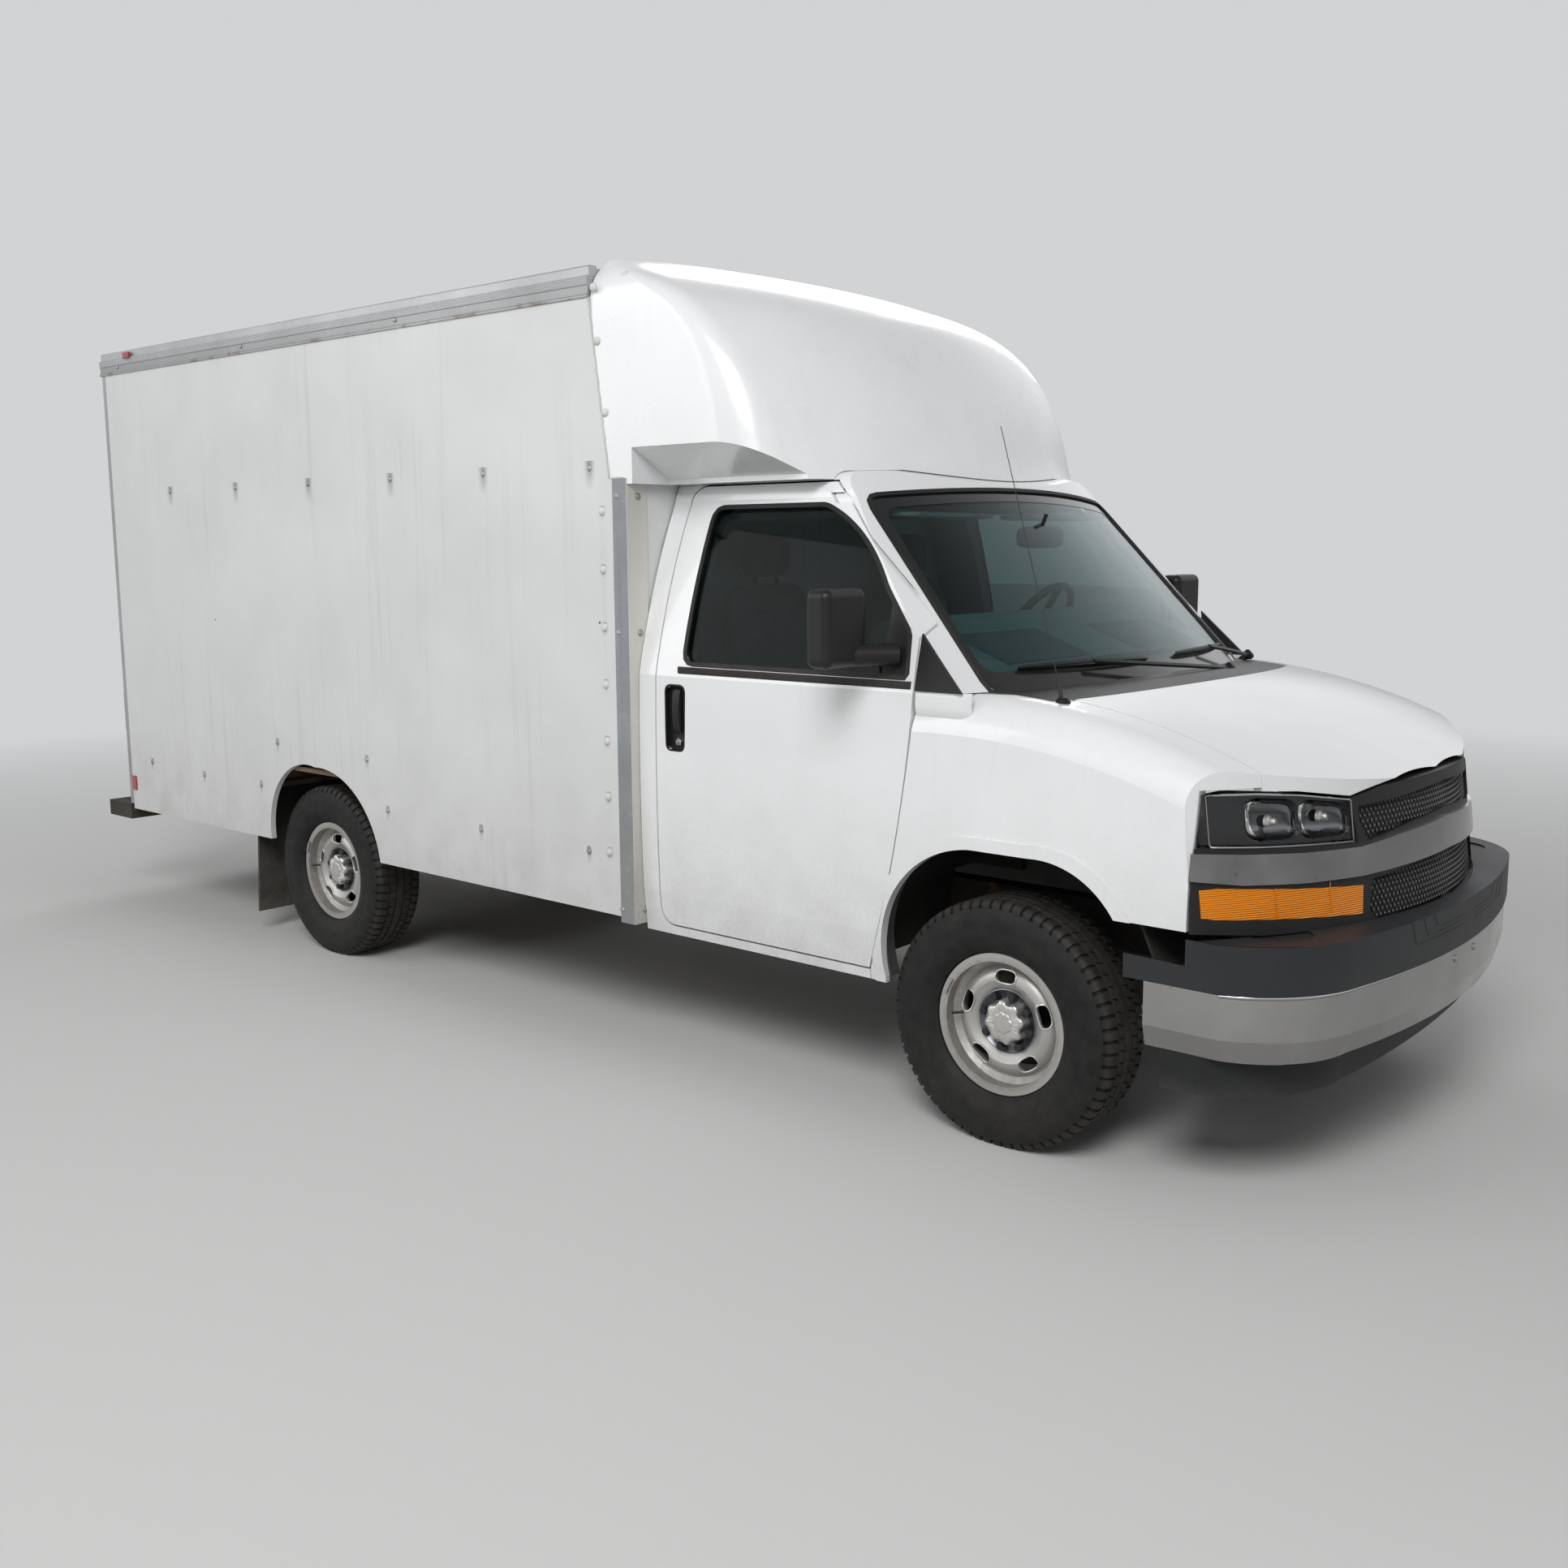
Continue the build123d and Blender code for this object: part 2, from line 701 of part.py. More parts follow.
def bumper_pad():
    """The dark textured pad on top of the bumper: a front face and a ledge back to the nose."""
    low, top = PAD
    wall = 16
    face = plan_prism(bumper_plan(0, 440), low, top) - plan_prism(bumper_plan(wall, 400), low - 1, top - wall)
    ledge_back = plan_prism(bumper_plan(150, 300), low - 1, top + 1)
    return largest(face - ledge_back - hood_form(-4))


def air_dam():
    """The air dam below the bumper."""
    low, top = DAM
    plans = []
    for inset in (0, 14):
        side = 982 - inset
        plans.append(outline([
            (545 - inset, -side), (650, -side), (800, -880 + inset, 915 - inset, -600),
            (948 - inset, 0, 915 - inset, 600), (800, 880 - inset, 650, side), (545 - inset, side),
        ]))
    return plan_prism(plans[0], low, top) - plan_prism(plans[1], low - 1, top + 1)


# Chassis nodes

# Cross members: station, lowest and highest height
CROSS_MEMBERS = [
    (780, 570, 670), (-1300, 640, 690), (-1460, 570, 670), (-2550, 570, 670), (-3150, 580, 680),
    (-4250, 580, 680), (-5120, 570, 670),
]
FRAME_REAR = -5200
FRAME_FRONT = 900
CAB_ARMS = (-760, -1330)
CAB_ARM_END = 730


def chassis_frame():
    """Ladder frame: two channel rails, cross members and engine mounts."""
    rail = block(FRAME_REAR, FRAME_FRONT, RAIL_INNER, RAIL_OUTER, RAIL_LOW, FRAME_TOP)
    rail -= block(FRAME_REAR - 1, FRAME_FRONT + 1, RAIL_INNER - 1, RAIL_OUTER - RAIL_SHEET,
                  RAIL_LOW + RAIL_SHEET, FRAME_TOP - RAIL_SHEET)
    web = RAIL_OUTER - RAIL_SHEET / 2
    rail += block(-40, 40, 251, web, 600, 640)
    frame = joined_halves(rail)
    for x, low, high in CROSS_MEMBERS:
        frame += block(x - 40, x + 40, -web, web, low, high)
    return frame


def cab_mounts():
    """Four arms on the rails' outer faces that carry the cab floor."""
    arms = [
        right_block(x - 30, x + 30, RAIL_OUTER, CAB_ARM_END, FRAME_TOP - 60, CAB_FLOOR_Z - FLOOR_SHEET)
        for x in CAB_ARMS
    ]
    return joined_halves(arms[0] + arms[1])


def engine_block():
    """Engine and gearbox as one plain block."""
    return block(-700, 560, -250, 250, 420, 900) + block(-1400, -700, -140, 140, 380, 640)


def radiator():
    """The radiator behind the grille, standing on the front cross member."""
    return block(770, 830, -390, 390, 670, 1080)


def front_suspension():
    """Cross member, towers, control arms and coil springs of the front axle."""
    half = right_block(-120, 120, 0, 500, 300, 400) + right_block(-150, 150, 420, 500, 300, RAIL_LOW)
    for x in (-130, 130):
        half += rod((x, -480, 315), (0, -700, 285), 22)
        half += rod((x, -490, 500), (0, -690, 490), 18)
    half += rod((0, -560, 300), (0, -560, 520), 50)
    half += right_block(-60, 60, 500, 610, 515, 580)
    return joined_halves(half)


def knuckle(side):
    """Steering knuckle with its spindle, steering arm and brake caliper."""
    y = -KINGPIN_Y
    piece = rod((0, y, 240), (0, y, 560), 28)
    piece += rod((0, y, AXLE_HEIGHT), (0, -FRONT_TRACK_HALF - 20, AXLE_HEIGHT), SPINDLE_RADIUS)
    piece += rod((0, y, 325), (-140, y + 50, 325), 13)
    piece += right_block(-165, -15, KINGPIN_Y, 766, 355, 405)
    ring = rod((0, -766, AXLE_HEIGHT), (0, -814, AXLE_HEIGHT), 184)
    ring -= rod((0, -760, AXLE_HEIGHT), (0, -820, AXLE_HEIGHT), 120)
    ring &= right_block(-190, -80, 760, 820, 300, 460)
    slot = rod((0, -772, AXLE_HEIGHT), (0, -808, AXLE_HEIGHT), 168)
    return on_side(largest(piece + (ring - slot)), side)


LEAF_LOW = 505
LEAF_HIGH = 580


def rear_axle():
    """Axle tube, differential, leaf springs, drums and propeller shaft."""
    x = REAR_AXLE
    half = rod((x, 0, AXLE_HEIGHT), (x, -770, AXLE_HEIGHT), 45)
    half += rod((x, -760, AXLE_HEIGHT), (x, -REAR_TRACK_HALF - 20, AXLE_HEIGHT), SPINDLE_RADIUS)
    half += rod((x, -715, AXLE_HEIGHT), (x, -784, AXLE_HEIGHT), 150)
    half += side_prism(outline([
        (x - 800, 520), (x, 400, x + 750, 520), (x + 750, 545), (x, 430, x - 800, 545),
    ]), -LEAF_HIGH, -LEAF_LOW)
    half += right_block(x - 70, x + 70, LEAF_LOW - 5, LEAF_HIGH + 5, 330, 470)
    for hanger in (x - 790, x + 740):
        half += right_block(hanger - 25, hanger + 25, RAIL_OUTER, LEAF_HIGH, 515, 640)
    piece = joined_halves(half) + Pos(x, 0, AXLE_HEIGHT) * Sphere(150)
    return piece + rod((x + 100, 0, AXLE_HEIGHT + 5), (-1402, 0, 480), 38)


# Exhaust route: (X, Y, Z)
EXHAUST_ROUTE = [
    (-560, -330, 440), (-2700, -330, 440), (-3100, -330, 512), (-3950, -330, 512), (-4350, -330, 440),
    (-4720, -720, 440), (-5060, -800, 440),
]


def exhaust():
    """Exhaust pipe with its muffler and the hangers that hold it to the right rail."""
    path = FilletPolyline(*EXHAUST_ROUTE, radius=120)
    piece = sweep(Plane(origin=path @ 0, z_dir=path % 0) * Circle(32), path=path)
    piece += rod((-1700, -330, 440), (-2400, -330, 440), 95)
    for x in (-1300, -4150):
        height = 440 if x > -3000 else 490
        piece += block(x - 12, x + 12, -445, -330, height, height + 16)
        piece += block(x - 12, x + 12, -445, -433, height, RAIL_LOW)
    return piece


def fuel_tank():
    """Fuel tank inside the left rail, held by two straps."""
    x_low, x_high, y_low, y_high, z_low, z_high = -2490, -1650, 130, 405, 350, 560
    tank = block(x_low, x_high, y_low, y_high, z_low, z_high)
    tank = fillet(tank.edges().filter_by(Axis.X), 40)
    for x in (x_low + 150, x_high - 150):
        tank += block(x - 20, x + 20, y_low - 4, y_high + 4, z_low - 4, z_high + 4)
        tank += block(x - 20, x + 20, y_high, RAIL_INNER + 20, RAIL_LOW - 12, RAIL_LOW)
    return tank


# Wheels


def tyre(x, y):
    """A road tyre seated on its rim, with round shoulders, standing on its flattened foot."""
    half = TYRE_WIDTH / 2
    seat = 70
    profile = outline([
        (BEAD_RADIUS, seat),
        (BEAD_RADIUS, -seat),
        (RIM_RADIUS + 2, -RIM_WIDTH / 2 + 8),
        (RIM_RADIUS + 4, -RIM_WIDTH / 2 - 4),
        (265, -half + 3, 300, -half),
        (345, -half + 3, 370, -half + 14),
        (383, -half + 24, TYRE_RADIUS, -half + 42),
        (TYRE_RADIUS, half - 42),
        (383, half - 24, 370, half - 14),
        (345, half - 3, 300, half),
        (265, half - 3, RIM_RADIUS + 4, RIM_WIDTH / 2 + 4),
        (RIM_RADIUS + 2, RIM_WIDTH / 2 - 8),
    ])
    ring = Pos(x, y, AXLE_HEIGHT) * revolve(Plane.XY * profile, axis=Axis.Y)
    return ring - block(x - TYRE_RADIUS, x + TYRE_RADIUS, y - TYRE_WIDTH, y + TYRE_WIDTH, -50, 0)


def wheel(x, y, side, front):
    """A steel wheel: drop-centre rim, dished disc with hand holes, nuts, centre cap and brake disc."""
    half = RIM_WIDTH / 2
    sheet = 8
    well = 181
    profile = outline([
        (RIM_RADIUS, -half), (RIM_RADIUS, -half + 6), (BEAD_RADIUS, -half + 16), (BEAD_RADIUS, -20),
        (well, 0), (well, 30), (BEAD_RADIUS, 45), (BEAD_RADIUS, half - 16),
        (RIM_RADIUS, half - 6), (RIM_RADIUS, half), (BEAD_RADIUS - sheet, half), (BEAD_RADIUS - sheet, 50),
        (well - sheet, 34), (well - sheet, -4), (BEAD_RADIUS - sheet, -24), (BEAD_RADIUS - sheet, -half),
    ])
    piece = revolve(Plane.XY * profile, axis=Axis.Y)
    disc_profile = outline([
        (20, 25), (70, 25), (100, 45, 130, 62), (160, 52, DISC_EDGE, 26), (DISC_EDGE, 8),
        (155, 40, 130, 50), (100, 34, 70, 12), (20, 12),
    ])
    disc = revolve(Plane.XY * disc_profile, axis=Axis.Y)
    for index in range(HAND_HOLES):
        slot = Pos(0, 0, HOLE_CIRCLE) * Rot(90, 0, 0) * extrude(SlotOverall(HOLE_LENGTH, HOLE_WIDTH), amount=90)
        disc -= Rot(0, 360 / HAND_HOLES * index, 0) * Pos(0, 95, 0) * slot
    piece += disc
    piece += rod((0, 20, 0), (0, CAP_FACE, 0), CAP_RADIUS)
    for index in range(LUG_NUTS):
        angle = 2 * pi * (index + 0.3) / LUG_NUTS
        place = (NUT_CIRCLE * sin(angle), NUT_CIRCLE * cos(angle))
        piece += rod((place[0], 22, place[1]), (place[0], 56, place[1]), NUT_RADIUS)
    piece += rod((0, -50, 0), (0, 14, 0), 66)
    if front:
        piece += rod((0, -77, 0), (0, -49, 0), 160)
    piece -= rod((0, -120, 0), (0, 26, 0), BORE_RADIUS)
    return Pos(x, y, AXLE_HEIGHT) * on_side(mirrored(piece), side)


# Box body nodes

SILL_STATIONS = (-1650, -2150, -2700, -4250, -4750, -5180)
WHEEL_BOX_TOP = 850
WHEEL_BOX_INNER = 690
WHEEL_BOX_HALF = 450
THRESHOLD_Z = DECK_Z - 3
THRESHOLD_DEPTH = 90


def box_floor():
    """Cargo deck with cross sills, the two wheel boxes and a lower threshold under the rear door."""
    rear = BOX_REAR + 2
    deck = block(rear, BOX_FRONT - BOX_WALL, -INNER_HALF, INNER_HALF, DECK_Z - DECK_BOARD, DECK_Z)
    deck -= block(rear - 1, BOX_REAR + THRESHOLD_DEPTH, -BOX_HALF, BOX_HALF, THRESHOLD_Z, DECK_Z + 1)
    x = REAR_AXLE
    for side in (-1, 1):
        low, high = sorted((side * WHEEL_BOX_INNER, side * INNER_HALF))
        deck += block(x - WHEEL_BOX_HALF, x + WHEEL_BOX_HALF, low, high, DECK_Z - DECK_BOARD, WHEEL_BOX_TOP)
        low, high = sorted((side * (WHEEL_BOX_INNER + 20), side * (INNER_HALF + 1)))
        deck -= block(x - WHEEL_BOX_HALF + 20, x + WHEEL_BOX_HALF - 20, low, high,
                      DECK_Z - DECK_BOARD - 1, WHEEL_BOX_TOP - 20)
    for station in SILL_STATIONS:
        deck += block(station - 30, station + 30, -INNER_HALF, INNER_HALF, FRAME_TOP, DECK_Z - DECK_BOARD)
    return deck


# Seam between side panel and fairing in the side view: (X, Z)
SEAM_LOW = (-1568, 2064)
SEAM_HIGH = (-1655, 2690)


def box_sides():
    """Both side panels with the rear wheel arch cut out and the slanted seam to the fairing."""
    rear = BOX_REAR + 2
    panel = side_prism(outline([
        (rear, WALL_BOTTOM), (POST_REAR, WALL_BOTTOM), (POST_REAR, POST_TOP), SEAM_LOW, SEAM_HIGH,
        (rear, RAIL_BOTTOM),
    ]), -BOX_HALF, -INNER_HALF)
    arch = side_prism(outline([
        (REAR_AXLE + 481, 300), (REAR_AXLE + 481, WALL_BOTTOM),
        (REAR_AXLE + 330, 760, REAR_AXLE + 12, 864),
        (REAR_AXLE - 290, 770, REAR_AXLE - 378, WALL_BOTTOM), (REAR_AXLE - 378, 300),
    ]), -1100, -1000)
    return both_sides(panel - arch)


def box_posts():
    """Both front corner posts, angles whose front leg closes the box's corner."""
    leg = 5
    post = right_block(POST_REAR, BOX_FRONT + leg, INNER_HALF, BOX_HALF + 2, POST_BOTTOM, POST_TOP)
    post += right_block(BOX_FRONT, BOX_FRONT + leg, 950, BOX_HALF + 2, POST_BOTTOM, POST_TOP)
    return both_sides(post)


def box_roof():
    """The slightly crowned roof sheet on its bows."""
    half = BOX_HALF - 44
    low = RAIL_TOP - 30
    sheet = front_prism(outline([
        (-half, low), (0, low + ROOF_RISE, half, low), (half, low + 20), (0, low + 20 + ROOF_RISE, -half, low + 20),
    ]), BOX_REAR + 2, SEAM_HIGH[0] - 1)
    for station in range(-4900, -1700, 600):
        sheet += block(station - 20, station + 20, -half, half, low - 40, low + 2)
    return sheet


def box_front_wall():
    """Front wall of the cargo space, from the frame up to the roof."""
    return block(BOX_FRONT - BOX_WALL, BOX_FRONT, -INNER_HALF, INNER_HALF, FRAME_TOP + 4, RAIL_TOP - 40)


def box_rails():
    """Top rails with a stepped profile and a drip lip."""
    y = -BOX_HALF
    rail = front_prism(outline([
        (y + 44, RAIL_BOTTOM), (y - 6, RAIL_BOTTOM), (y - 6, RAIL_BOTTOM + 8), (y - 1, RAIL_BOTTOM + 12),
        (y - 1, RAIL_BOTTOM + 40), (y - 4, RAIL_BOTTOM + 44), (y - 4, RAIL_BOTTOM + 72), (y + 6, RAIL_BOTTOM + 76),
        (y + 6, RAIL_TOP - 6), (y + 12, RAIL_TOP), (y + 44, RAIL_TOP),
    ]), BOX_REAR - RAIL_OVERHANG, SEAM_HIGH[0] - 2)
    return both_sides(rail)


# Fairing slices: height, front at the middle, half width, front radius, corner radius
FAIRING_SLICES = [
    (2015, -556, 1045, 1700, 230),
    (2200, -680, 1045, 2100, 210),
    (2380, -757, 1045, 2220, 170),
    (2540, -873, 1045, 2300, 130),
    (2670, -1023, 1040, 2300, 110),
    (2760, -1238, 1012, 2630, 100),
    (2822, -1433, 947, 3700, 90),
]
FAIRING_REAR = -1760
FAIRING_FOOT = 2044
FAIRING_WALL = BOX_WALL


def fairing_slice(front, half, radius, corner, inset):
    """One level outline of the fairing: straight sides, round corners and a front arc."""
    front = front - inset
    half = half - inset
    radius = radius - inset
    corner = corner - inset / 2
    centre = front - radius
    corner_x = centre + sqrt((radius - corner)**2 - (half - corner)**2)
    share = radius / (radius - corner)
    meet_x = centre + (corner_x - centre) * share
    meet_y = (half - corner) * share
    turn_x = corner_x + (meet_x - corner_x) * 0.5
    turn_y = half - corner + sqrt(corner**2 - (turn_x - corner_x)**2)
    return outline([
        (FAIRING_REAR - inset, -half), (corner_x, -half), (turn_x, -turn_y, meet_x, -meet_y),
        (front, 0, meet_x, meet_y), (turn_x, turn_y, corner_x, half), (FAIRING_REAR - inset, half),
    ])


def fairing_form(inset):
    """The fairing's outer form, or the form that lies an inset inside it."""
    rings = []
    for height, front, half, radius, corner in FAIRING_SLICES:
        lower = inset if height == FAIRING_SLICES[-1][0] else 0
        rings.append(Plane.XY.offset(height - lower) * fairing_slice(front, half, radius, corner, inset))
    return loft(rings)


def door_scoop(grow):
    """The scoop above the door on the right side, deepest at its lower edge."""
    wedge = front_prism(outline([
        (-1060, 2176 + grow), (-862 + grow, 2062 + grow), (-862 + grow, 1990), (-1060, 1990),
    ]), -1454 - grow, -600 + grow)
    ends = side_prism(outline([
        (-1456 - grow, 1980), (-1456 - grow, 2180 + grow), (-760 + grow, 2180 + grow), (-600 + grow, 1980),
    ]), -1200, 0)
    return wedge & ends


def nose_cone():
    """The wind fairing over the cab: a hollow moulding with scoops above the doors."""
    seam = side_prism(outline([
        (SEAM_LOW[0] + 2, 1900), (SEAM_LOW[0] + 2, SEAM_LOW[1]), (SEAM_HIGH[0] + 2, SEAM_HIGH[1]),
        (SEAM_HIGH[0] + 2, 2900), (0, 2900), (0, 1900),
    ]), -1100, 1100)
    skirt = right_block(-1800, 0, 700, 1200, 1900, FAIRING_FOOT)
    sole = right_block(-1800, 0, 740, 1200, 1900, FAIRING_FOOT + 20)
    outer = fairing_form(0)
    inner = fairing_form(FAIRING_WALL)
    for tool in (skirt, door_scoop(0)):
        outer = outer - tool - mirrored(tool)
    for tool in (sole, door_scoop(20)):
        inner = inner - tool - mirrored(tool)
    shell = (outer - inner) & seam
    shell -= cab_form(-2)
    shell -= block(POST_REAR - 40, BOX_FRONT + 6, -BOX_HALF - 5, BOX_HALF + 5, 1900, POST_TOP)
    return largest(shell - block(BOX_FRONT - BOX_WALL, BOX_FRONT, -INNER_HALF, INNER_HALF, 1900, RAIL_TOP - 40))


def rear_frame():
    """Rear door frame: two posts, header and sill."""
    x_low = BOX_REAR - 30
    x_high = BOX_REAR + 1
    half = right_block(x_low, x_high, 975, BOX_HALF, 520, RAIL_BOTTOM - 1)
    half += right_block(x_low, x_high, 0, BOX_HALF, DOOR_HEAD_Z, RAIL_BOTTOM - 1)
    half += right_block(x_low, x_high, 0, BOX_HALF - 46, DOOR_HEAD_Z, RAIL_TOP)
    half += right_block(x_low, x_high, 0, BOX_HALF, 520, DECK_Z)
    return joined_halves(half)


def rear_door():
    """The closed roll-up door: seven panels on hinge straps."""
    height = (DOOR_HEAD_Z - DECK_Z - 4) / DOOR_PANELS
    x = BOX_REAR + 4
    piece = Part()
    for index in range(DOOR_PANELS):
        low = DECK_Z + 2 + index * height
        piece += block(x, x + 22, -970, 970, low, low + height - 5)
    for y in (-900, -450, 0, 450, 900):
        piece += block(x + 18, x + 26, y - 25, y + 25, DECK_Z + 10, DOOR_HEAD_Z - 10)
    return piece


def door_tracks():
    """The roll-up door's tracks inside the box and the spring shaft across it."""
    near = 980
    x = BOX_REAR + 34
    track = right_block(x, x + 40, near, INNER_HALF, THRESHOLD_Z, 2520)
    track += right_block(x, -3400, near, INNER_HALF, 2500, 2540)
    shaft = rod((x + 300, -INNER_HALF, 2640), (x + 300, 0, 2640), 20)
    drum = rod((x + 300, -960, 2640), (x + 300, -900, 2640), 60)
    return joined_halves(track + right_block(x + 270, x + 330, near + 20, INNER_HALF, 2500, 2680) + shaft + drum)


BUMPER_Z = (434, 513)


def rear_bumper():
    """The step bumper behind the box, hollow below, with its brackets and the hitch hole."""
    low, top = BUMPER_Z
    front = BOX_REAR - 34
    step = block(VEHICLE_REAR, front, -BOX_HALF, BOX_HALF, low, top)
    step -= block(VEHICLE_REAR + 6, front - 6, -BOX_HALF + 6, BOX_HALF - 6, low - 1, top - 8)
    for side in (-1, 1):
        near, far = sorted((side * (RAIL_INNER + 2), side * (RAIL_OUTER - 2)))
        step += block(front - 40, FRAME_REAR + 60, near, far, top - 8, top + 2)
        step += block(BOX_REAR + 4, FRAME_REAR + 60, near, far, top - 8, RAIL_LOW)
        near, far = sorted((side * 560, side * 980))
        step += block(BOX_REAR - 200, BOX_REAR - 60, near, far, top - 1, top + 4)
    return step - rod((BOX_REAR - 150, 0, low), (BOX_REAR - 150, 0, top + 20), HITCH_RADIUS)


def mud_flaps():
    """Rubber flaps behind the rear wheels, each on an arm from the frame."""
    flap = side_prism(outline([
        (-4074, 700), (-4060, 700), (-4110, 110), (-4124, 110),
    ]), -1010, -740)
    return both_sides(flap + right_block(-4082, -4056, RAIL_OUTER, 1010, 664, 698))


def tail_lamps():
    """Tail lamps on the rear posts."""
    x = BOX_REAR - 30
    lamp = right_block(x - 22, x, 982, 1038, 900, 1100)
    return both_sides(fillet(lamp.edges().group_by(Axis.X)[0], 6))


def wheel_liners():
    """Inner liners over both front tyres, clear of the steered wheel."""
    outer = [(-508, 500), (-476, 720), (-300, 925, 0, 958), (300, 925, 476, 760), (528, 640)]
    inner = [(520, 640), (468, 756), (296, 917, 0, 950), (-296, 917, -468, 716), (-500, 500)]
    liner = side_prism(outline(outer + inner), -955, -505)
    return both_sides(largest(liner - right_block(-600, DOOR_FRONT, 866, 1000, 300, 1100)))


def main():
    os.makedirs("parts", exist_ok=True)
    nodes = {
        "chassis_frame": chassis_frame(),
        "cab_mounts": cab_mounts(),
        "engine_block": engine_block(),
        "radiator": radiator(),
        "front_suspension": front_suspension(),
        "rear_axle": rear_axle(),
        "exhaust": exhaust(),
        "fuel_tank": fuel_tank(),
        "front_bumper": front_bumper(),
        "bumper_pad": bumper_pad(),
        "air_dam": air_dam(),
        "grille": grille(),
        "grille_bar": grille_bar(),
        "headlamps": headlamps(),
        "turn_lamps": turn_lamps(),
        "hood": hood(),
        "fenders": fenders(),
        "wheel_liners": wheel_liners(),
        "cowl": cowl(),
        "cab_shell": cab_shell(),
        "cab_floor": cab_floor(),
        "windshield": windshield(),
        "dashboard": dashboard(),
        "steering_wheel": steering_wheel(),
        "seats": seats(),
        "box_floor": box_floor(),
        "box_sides": box_sides(),
        "box_posts": box_posts(),
        "box_roof": box_roof(),
        "box_front_wall": box_front_wall(),
        "box_rails": box_rails(),
        "nose_cone": nose_cone(),
        "rear_frame": rear_frame(),
        "rear_door": rear_door(),
        "door_tracks": door_tracks(),
        "rear_bumper": rear_bumper(),
        "mud_flaps": mud_flaps(),
        "tail_lamps": tail_lamps(),
    }
    for word, side in (("left", 1), ("right", -1)):
        nodes["knuckle_" + word] = knuckle(side)
        nodes["door_" + word] = door(side)
        nodes["door_glass_" + word] = door_glass(side)
        nodes["mirror_" + word] = door_mirror(side)
        for end, x, track in (("front", 0, FRONT_TRACK_HALF), ("rear", REAR_AXLE, REAR_TRACK_HALF)):
            nodes["tyre_" + end + "_" + word] = tyre(x, side * track)
            nodes["wheel_" + end + "_" + word] = wheel(x, side * track, side, end == "front")
    for name, shape in nodes.items():
        export_node(name, shape)


if __name__ == "__main__":
    main()
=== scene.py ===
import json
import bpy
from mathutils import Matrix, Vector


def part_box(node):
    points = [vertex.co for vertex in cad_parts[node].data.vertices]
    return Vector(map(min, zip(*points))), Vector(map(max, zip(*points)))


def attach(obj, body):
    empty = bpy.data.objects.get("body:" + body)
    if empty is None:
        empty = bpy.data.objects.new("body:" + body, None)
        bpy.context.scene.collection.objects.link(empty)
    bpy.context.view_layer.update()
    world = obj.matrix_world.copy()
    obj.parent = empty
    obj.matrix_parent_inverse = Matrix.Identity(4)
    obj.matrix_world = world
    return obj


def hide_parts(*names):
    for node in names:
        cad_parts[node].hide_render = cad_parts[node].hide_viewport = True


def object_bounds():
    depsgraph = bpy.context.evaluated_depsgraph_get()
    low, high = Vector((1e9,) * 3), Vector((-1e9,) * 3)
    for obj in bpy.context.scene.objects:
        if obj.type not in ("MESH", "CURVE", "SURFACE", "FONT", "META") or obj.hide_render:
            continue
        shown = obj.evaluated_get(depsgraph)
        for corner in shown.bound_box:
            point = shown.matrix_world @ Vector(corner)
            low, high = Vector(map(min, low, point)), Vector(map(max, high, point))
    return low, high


bl_info = {
    "name": "Box truck looks",
    "version": (1, 0, 0),
    "blender": (4, 5, 0),
    "location": "View3D > Sidebar > Truck",
    "description": "Finishes, tread, trim and small parts for a box truck with a wind fairing",
    "category": "Object",
}

from functools import reduce
from math import cos, pi, radians, sin, tan

import bmesh
import bpy
import numpy as np
from bpy.props import FloatProperty, FloatVectorProperty, IntProperty, PointerProperty
from mathutils import Matrix, Vector

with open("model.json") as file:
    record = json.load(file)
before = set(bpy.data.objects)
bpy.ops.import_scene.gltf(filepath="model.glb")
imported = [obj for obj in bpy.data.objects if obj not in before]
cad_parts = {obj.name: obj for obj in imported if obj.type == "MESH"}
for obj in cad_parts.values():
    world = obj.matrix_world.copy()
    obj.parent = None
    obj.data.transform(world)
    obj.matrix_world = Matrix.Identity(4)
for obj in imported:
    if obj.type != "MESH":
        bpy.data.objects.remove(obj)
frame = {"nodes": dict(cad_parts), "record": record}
CAD_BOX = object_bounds()
NODES = frame["nodes"]

# Places are in metres. A station is measured forward from the front axle, a height from the ground.


def node_centre(name):
    """The middle of a node's box."""
    low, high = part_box(name)
    return (low + high) / 2


AXLE_X = node_centre("wheel_front_right").x
REAR_AXLE = node_centre("wheel_rear_right").x - AXLE_X
AXLE_Z = node_centre("wheel_front_right").z
FRONT_TRACK = abs(node_centre("tyre_front_right").y)
REAR_TRACK = abs(node_centre("tyre_rear_right").y)
BOX_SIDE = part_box("box_sides")[1].y
BOX_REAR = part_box("box_sides")[0].x - AXLE_X
RAIL_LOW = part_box("box_rails")[0].z
SIDES = (("right", -1), ("left", 1))
MERGE_DISTANCE = 1e-6

# The windshield's surface, the cab's side and the nose, as the solids have them
WINDSHIELD_BASE = (0.075, 1.372)
WINDSHIELD_SLOPE = (-0.545 - 0.075) / (2.013 - 1.372)
WINDSHIELD_RADIUS = 2.4
CAB_SIDE_ARC = ((1.003, 1.380), (0.921, 1.690), (0.806, 1.985))
NOSE_TOP = (0.956, 1.148)
NOSE_RADIUS = 1.615
NOSE_LEAN = tan(radians(6.8))


def at(x, y, z):
    """Points from station, side and height, broadcast to one array of rows."""
    x, y, z = np.broadcast_arrays(x, y, z)
    return np.stack([x + AXLE_X, y, z], -1).astype(float)


